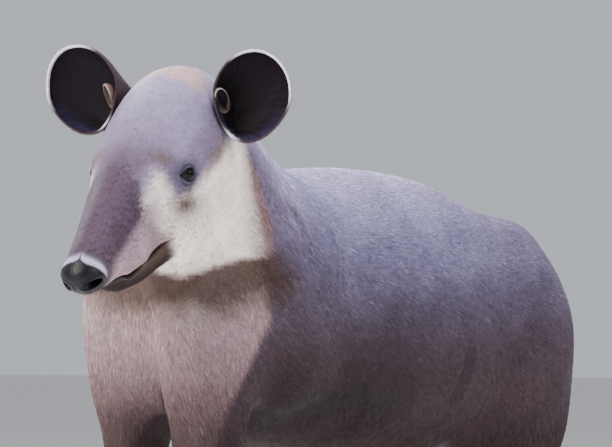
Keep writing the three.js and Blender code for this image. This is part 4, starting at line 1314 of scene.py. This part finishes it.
# Hooves: fourteen small blunt nails of dark horn, four on each forefoot and three on each hind foot.
# Each stands on the floor and leans back to the skin above it, ringed by its growth.
HOOF_HALF_WIDTH, HOOF_HALF_LENGTH, HOOF_HEIGHT, HOOF_LEAN = 20, 25, 40, 14
HOOF_SIDES, SOLE_SHARE = 72, 0.5
# Growth rings: waves over the height and where they start, their depth, and that of the chips at the edge
GROWTH_WAVES, GROWTH_START, GROWTH_DEPTH, CHIP_DEPTH = 60, 0.2117, 0.012, 0.01
# Share of its height, share of its half width
HOOF_PROFILE = [
    [0, 0.93], [0.03, 0.985], [0.12, 1], [0.35, 0.95], [0.62, 0.86], [0.85, 0.72], [0.95, 0.56], [0.99, 0.3],
]
HORN, HORN_WORN = colour(46, 38, 34), colour(98, 84, 72)


def hoof_rings(at, heading, size):
    """A ringed, slightly chipped oval horn"""
    up = np.concatenate([[0, 0.004], np.linspace(0.02, 0.99, 46)])[:, None]
    turn = np.linspace(0, 2 * np.pi, HOOF_SIDES, endpoint=False)
    out = np.interp(up, *np.array(HOOF_PROFILE).T)
    out[0] = SOLE_SHARE
    out = out * (1 + GROWTH_DEPTH * np.sin(up * GROWTH_WAVES + GROWTH_START))
    chips = np.sin(7 * turn + at[0]) + 0.6 * np.sin(31 * turn)
    out = out * (1 + CHIP_DEPTH * chips * (1 - up))
    x = HOOF_HALF_WIDTH * size * out * np.cos(turn)
    z = HOOF_HEIGHT * size * up * np.ones(HOOF_SIDES)
    y = HOOF_HALF_LENGTH * size * out * np.sin(turn) + HOOF_LEAN / HOOF_HEIGHT * z
    c, s = math.cos(heading), math.sin(heading)
    rings = np.stack([c * x - s * y, s * x + c * y, z], -1) + at
    worn = (rise(-up, -0.16, -0.02) + 0.25 * np.sin(up * GROWTH_WAVES)) * np.ones(HOOF_SIDES)
    return rings, HORN + (HORN_WORN - HORN) * worn.clip(0, 1)[..., None] * 0.7


hoof_material = skin_material("horn", 0.5)
for leg in LEGS:
    for number, (at, heading, size) in enumerate(toes_of(leg), 1):
        rings, tones = hoof_rings(at, heading, size)
        corners, faces = closed_loft(rings)
        mesh = new_mesh(f"horn_{leg}_{number}", placed(corners), faces)
        set_colours(mesh, with_ends(tones), np.full(len(corners), 0.6))
        put(f"horn_{leg}_{number}", mesh, hoof_material, "hoof", f"hoof_{leg}_{number}")

# Room: a plain pale floor, large soft lamps, and the camera at the photo's angle.
# A small lamp beside the camera puts the glint in the eye.
STAGE_COLOUR = colour(226, 224, 220)
VIEW_TURN, VIEW_LIFT = math.radians(33), math.radians(-2)
VIEW_DISTANCE, PIXELS_PER_SLOPE = 5.5, 3685
# The photo's size in pixels, and where the middle between the eyes stands in it
PHOTO_WIDTH, PHOTO_HEIGHT = 612, 447
EYES_ACROSS, EYES_DOWN = 143, 170
SENSOR_WIDTH = 36
level = math.cos(VIEW_LIFT)
back = np.array([math.sin(VIEW_TURN) * level, -math.cos(VIEW_TURN) * level, math.sin(VIEW_LIFT)])
right = np.array([math.cos(VIEW_TURN), math.sin(VIEW_TURN), 0])
up = np.cross(back, right)
eyes_middle = placed(HEAD_PLACE)


def standing(x, y, z, at):
    """Matrix of a thing whose own ways x, y and z point these ways in the room"""
    return Matrix([(x[n], y[n], z[n], at[n]) for n in range(3)] + [(0, 0, 0, 1)])


shift_right = (EYES_ACROSS - PHOTO_WIDTH / 2) / PIXELS_PER_SLOPE * VIEW_DISTANCE
shift_up = (PHOTO_HEIGHT / 2 - EYES_DOWN) / PIXELS_PER_SLOPE * VIEW_DISTANCE
where = eyes_middle - right * shift_right - up * shift_up + back * VIEW_DISTANCE
camera = bpy.data.objects.new("camera", bpy.data.cameras.new("camera"))
camera.data.sensor_width = SENSOR_WIDTH
camera.data.lens = PIXELS_PER_SLOPE * SENSOR_WIDTH / PHOTO_WIDTH
camera.data.clip_end = 200
bpy.context.scene.collection.objects.link(camera)
camera.matrix_world = standing(right, up, back, where)
bpy.context.scene.camera = camera

FLOOR_REACH = 60
floor_corners = np.array([[-1, -1, 0], [1, -1, 0], [1, 1, 0], [-1, 1, 0]]) * FLOOR_REACH
floor_mesh = new_mesh("floor", floor_corners, np.array([[0, 1, 2, 3]]))
floor = bpy.data.objects.new("floor", floor_mesh)
bpy.context.scene.collection.objects.link(floor)
floor_material, tree, shader = new_material("floor")
shader.inputs["Base Color"].default_value = (*STAGE_COLOUR, 1)
shader.inputs["Roughness"].default_value = 0.9
floor_mesh.materials.append(floor_material)

world = bpy.data.worlds.new("room")
world.use_nodes = True
world.node_tree.nodes["Background"].inputs["Color"].default_value = (0.82, 0.86, 0.95, 1)
world.node_tree.nodes["Background"].inputs["Strength"].default_value = 0.65
bpy.context.scene.world = world
BODY_MIDDLE = np.array([0, 0, 0.5])


def soft_light(name, way, distance, size, power, tint):
    """Round lamp that shines on the animal from one way"""
    lamp = bpy.data.lights.new(name, "AREA")
    lamp.shape = "DISK"
    lamp.size = size
    lamp.energy = power
    lamp.color = tint
    holder = bpy.data.objects.new(name, lamp)
    bpy.context.scene.collection.objects.link(holder)
    z = unit(way)
    x = unit(np.cross([0, 0, 1], z)) if abs(z[2]) < 0.99 else np.array([1.0, 0, 0])
    y = np.cross(z, x)
    at = BODY_MIDDLE + z * distance
    holder.matrix_world = standing(x, y, z, at)


soft_light("key", back * 0.9 - right * 0.9 + up * 0.9, 6, 3.0, 420, (1, 0.94, 0.88))
soft_light("small", back * 0.62 + right * 0.6 + up * 0.5, 5, 0.4, 60, (1, 0.98, 0.97))
soft_light("top", np.array([0.1, 0.35, 1.0]), 6, 3.5, 900, (0.82, 0.86, 1))
soft_light("edge", -back * 0.8 - right * 0.5 + up * 0.7, 6, 2.5, 600, (0.92, 0.95, 1))
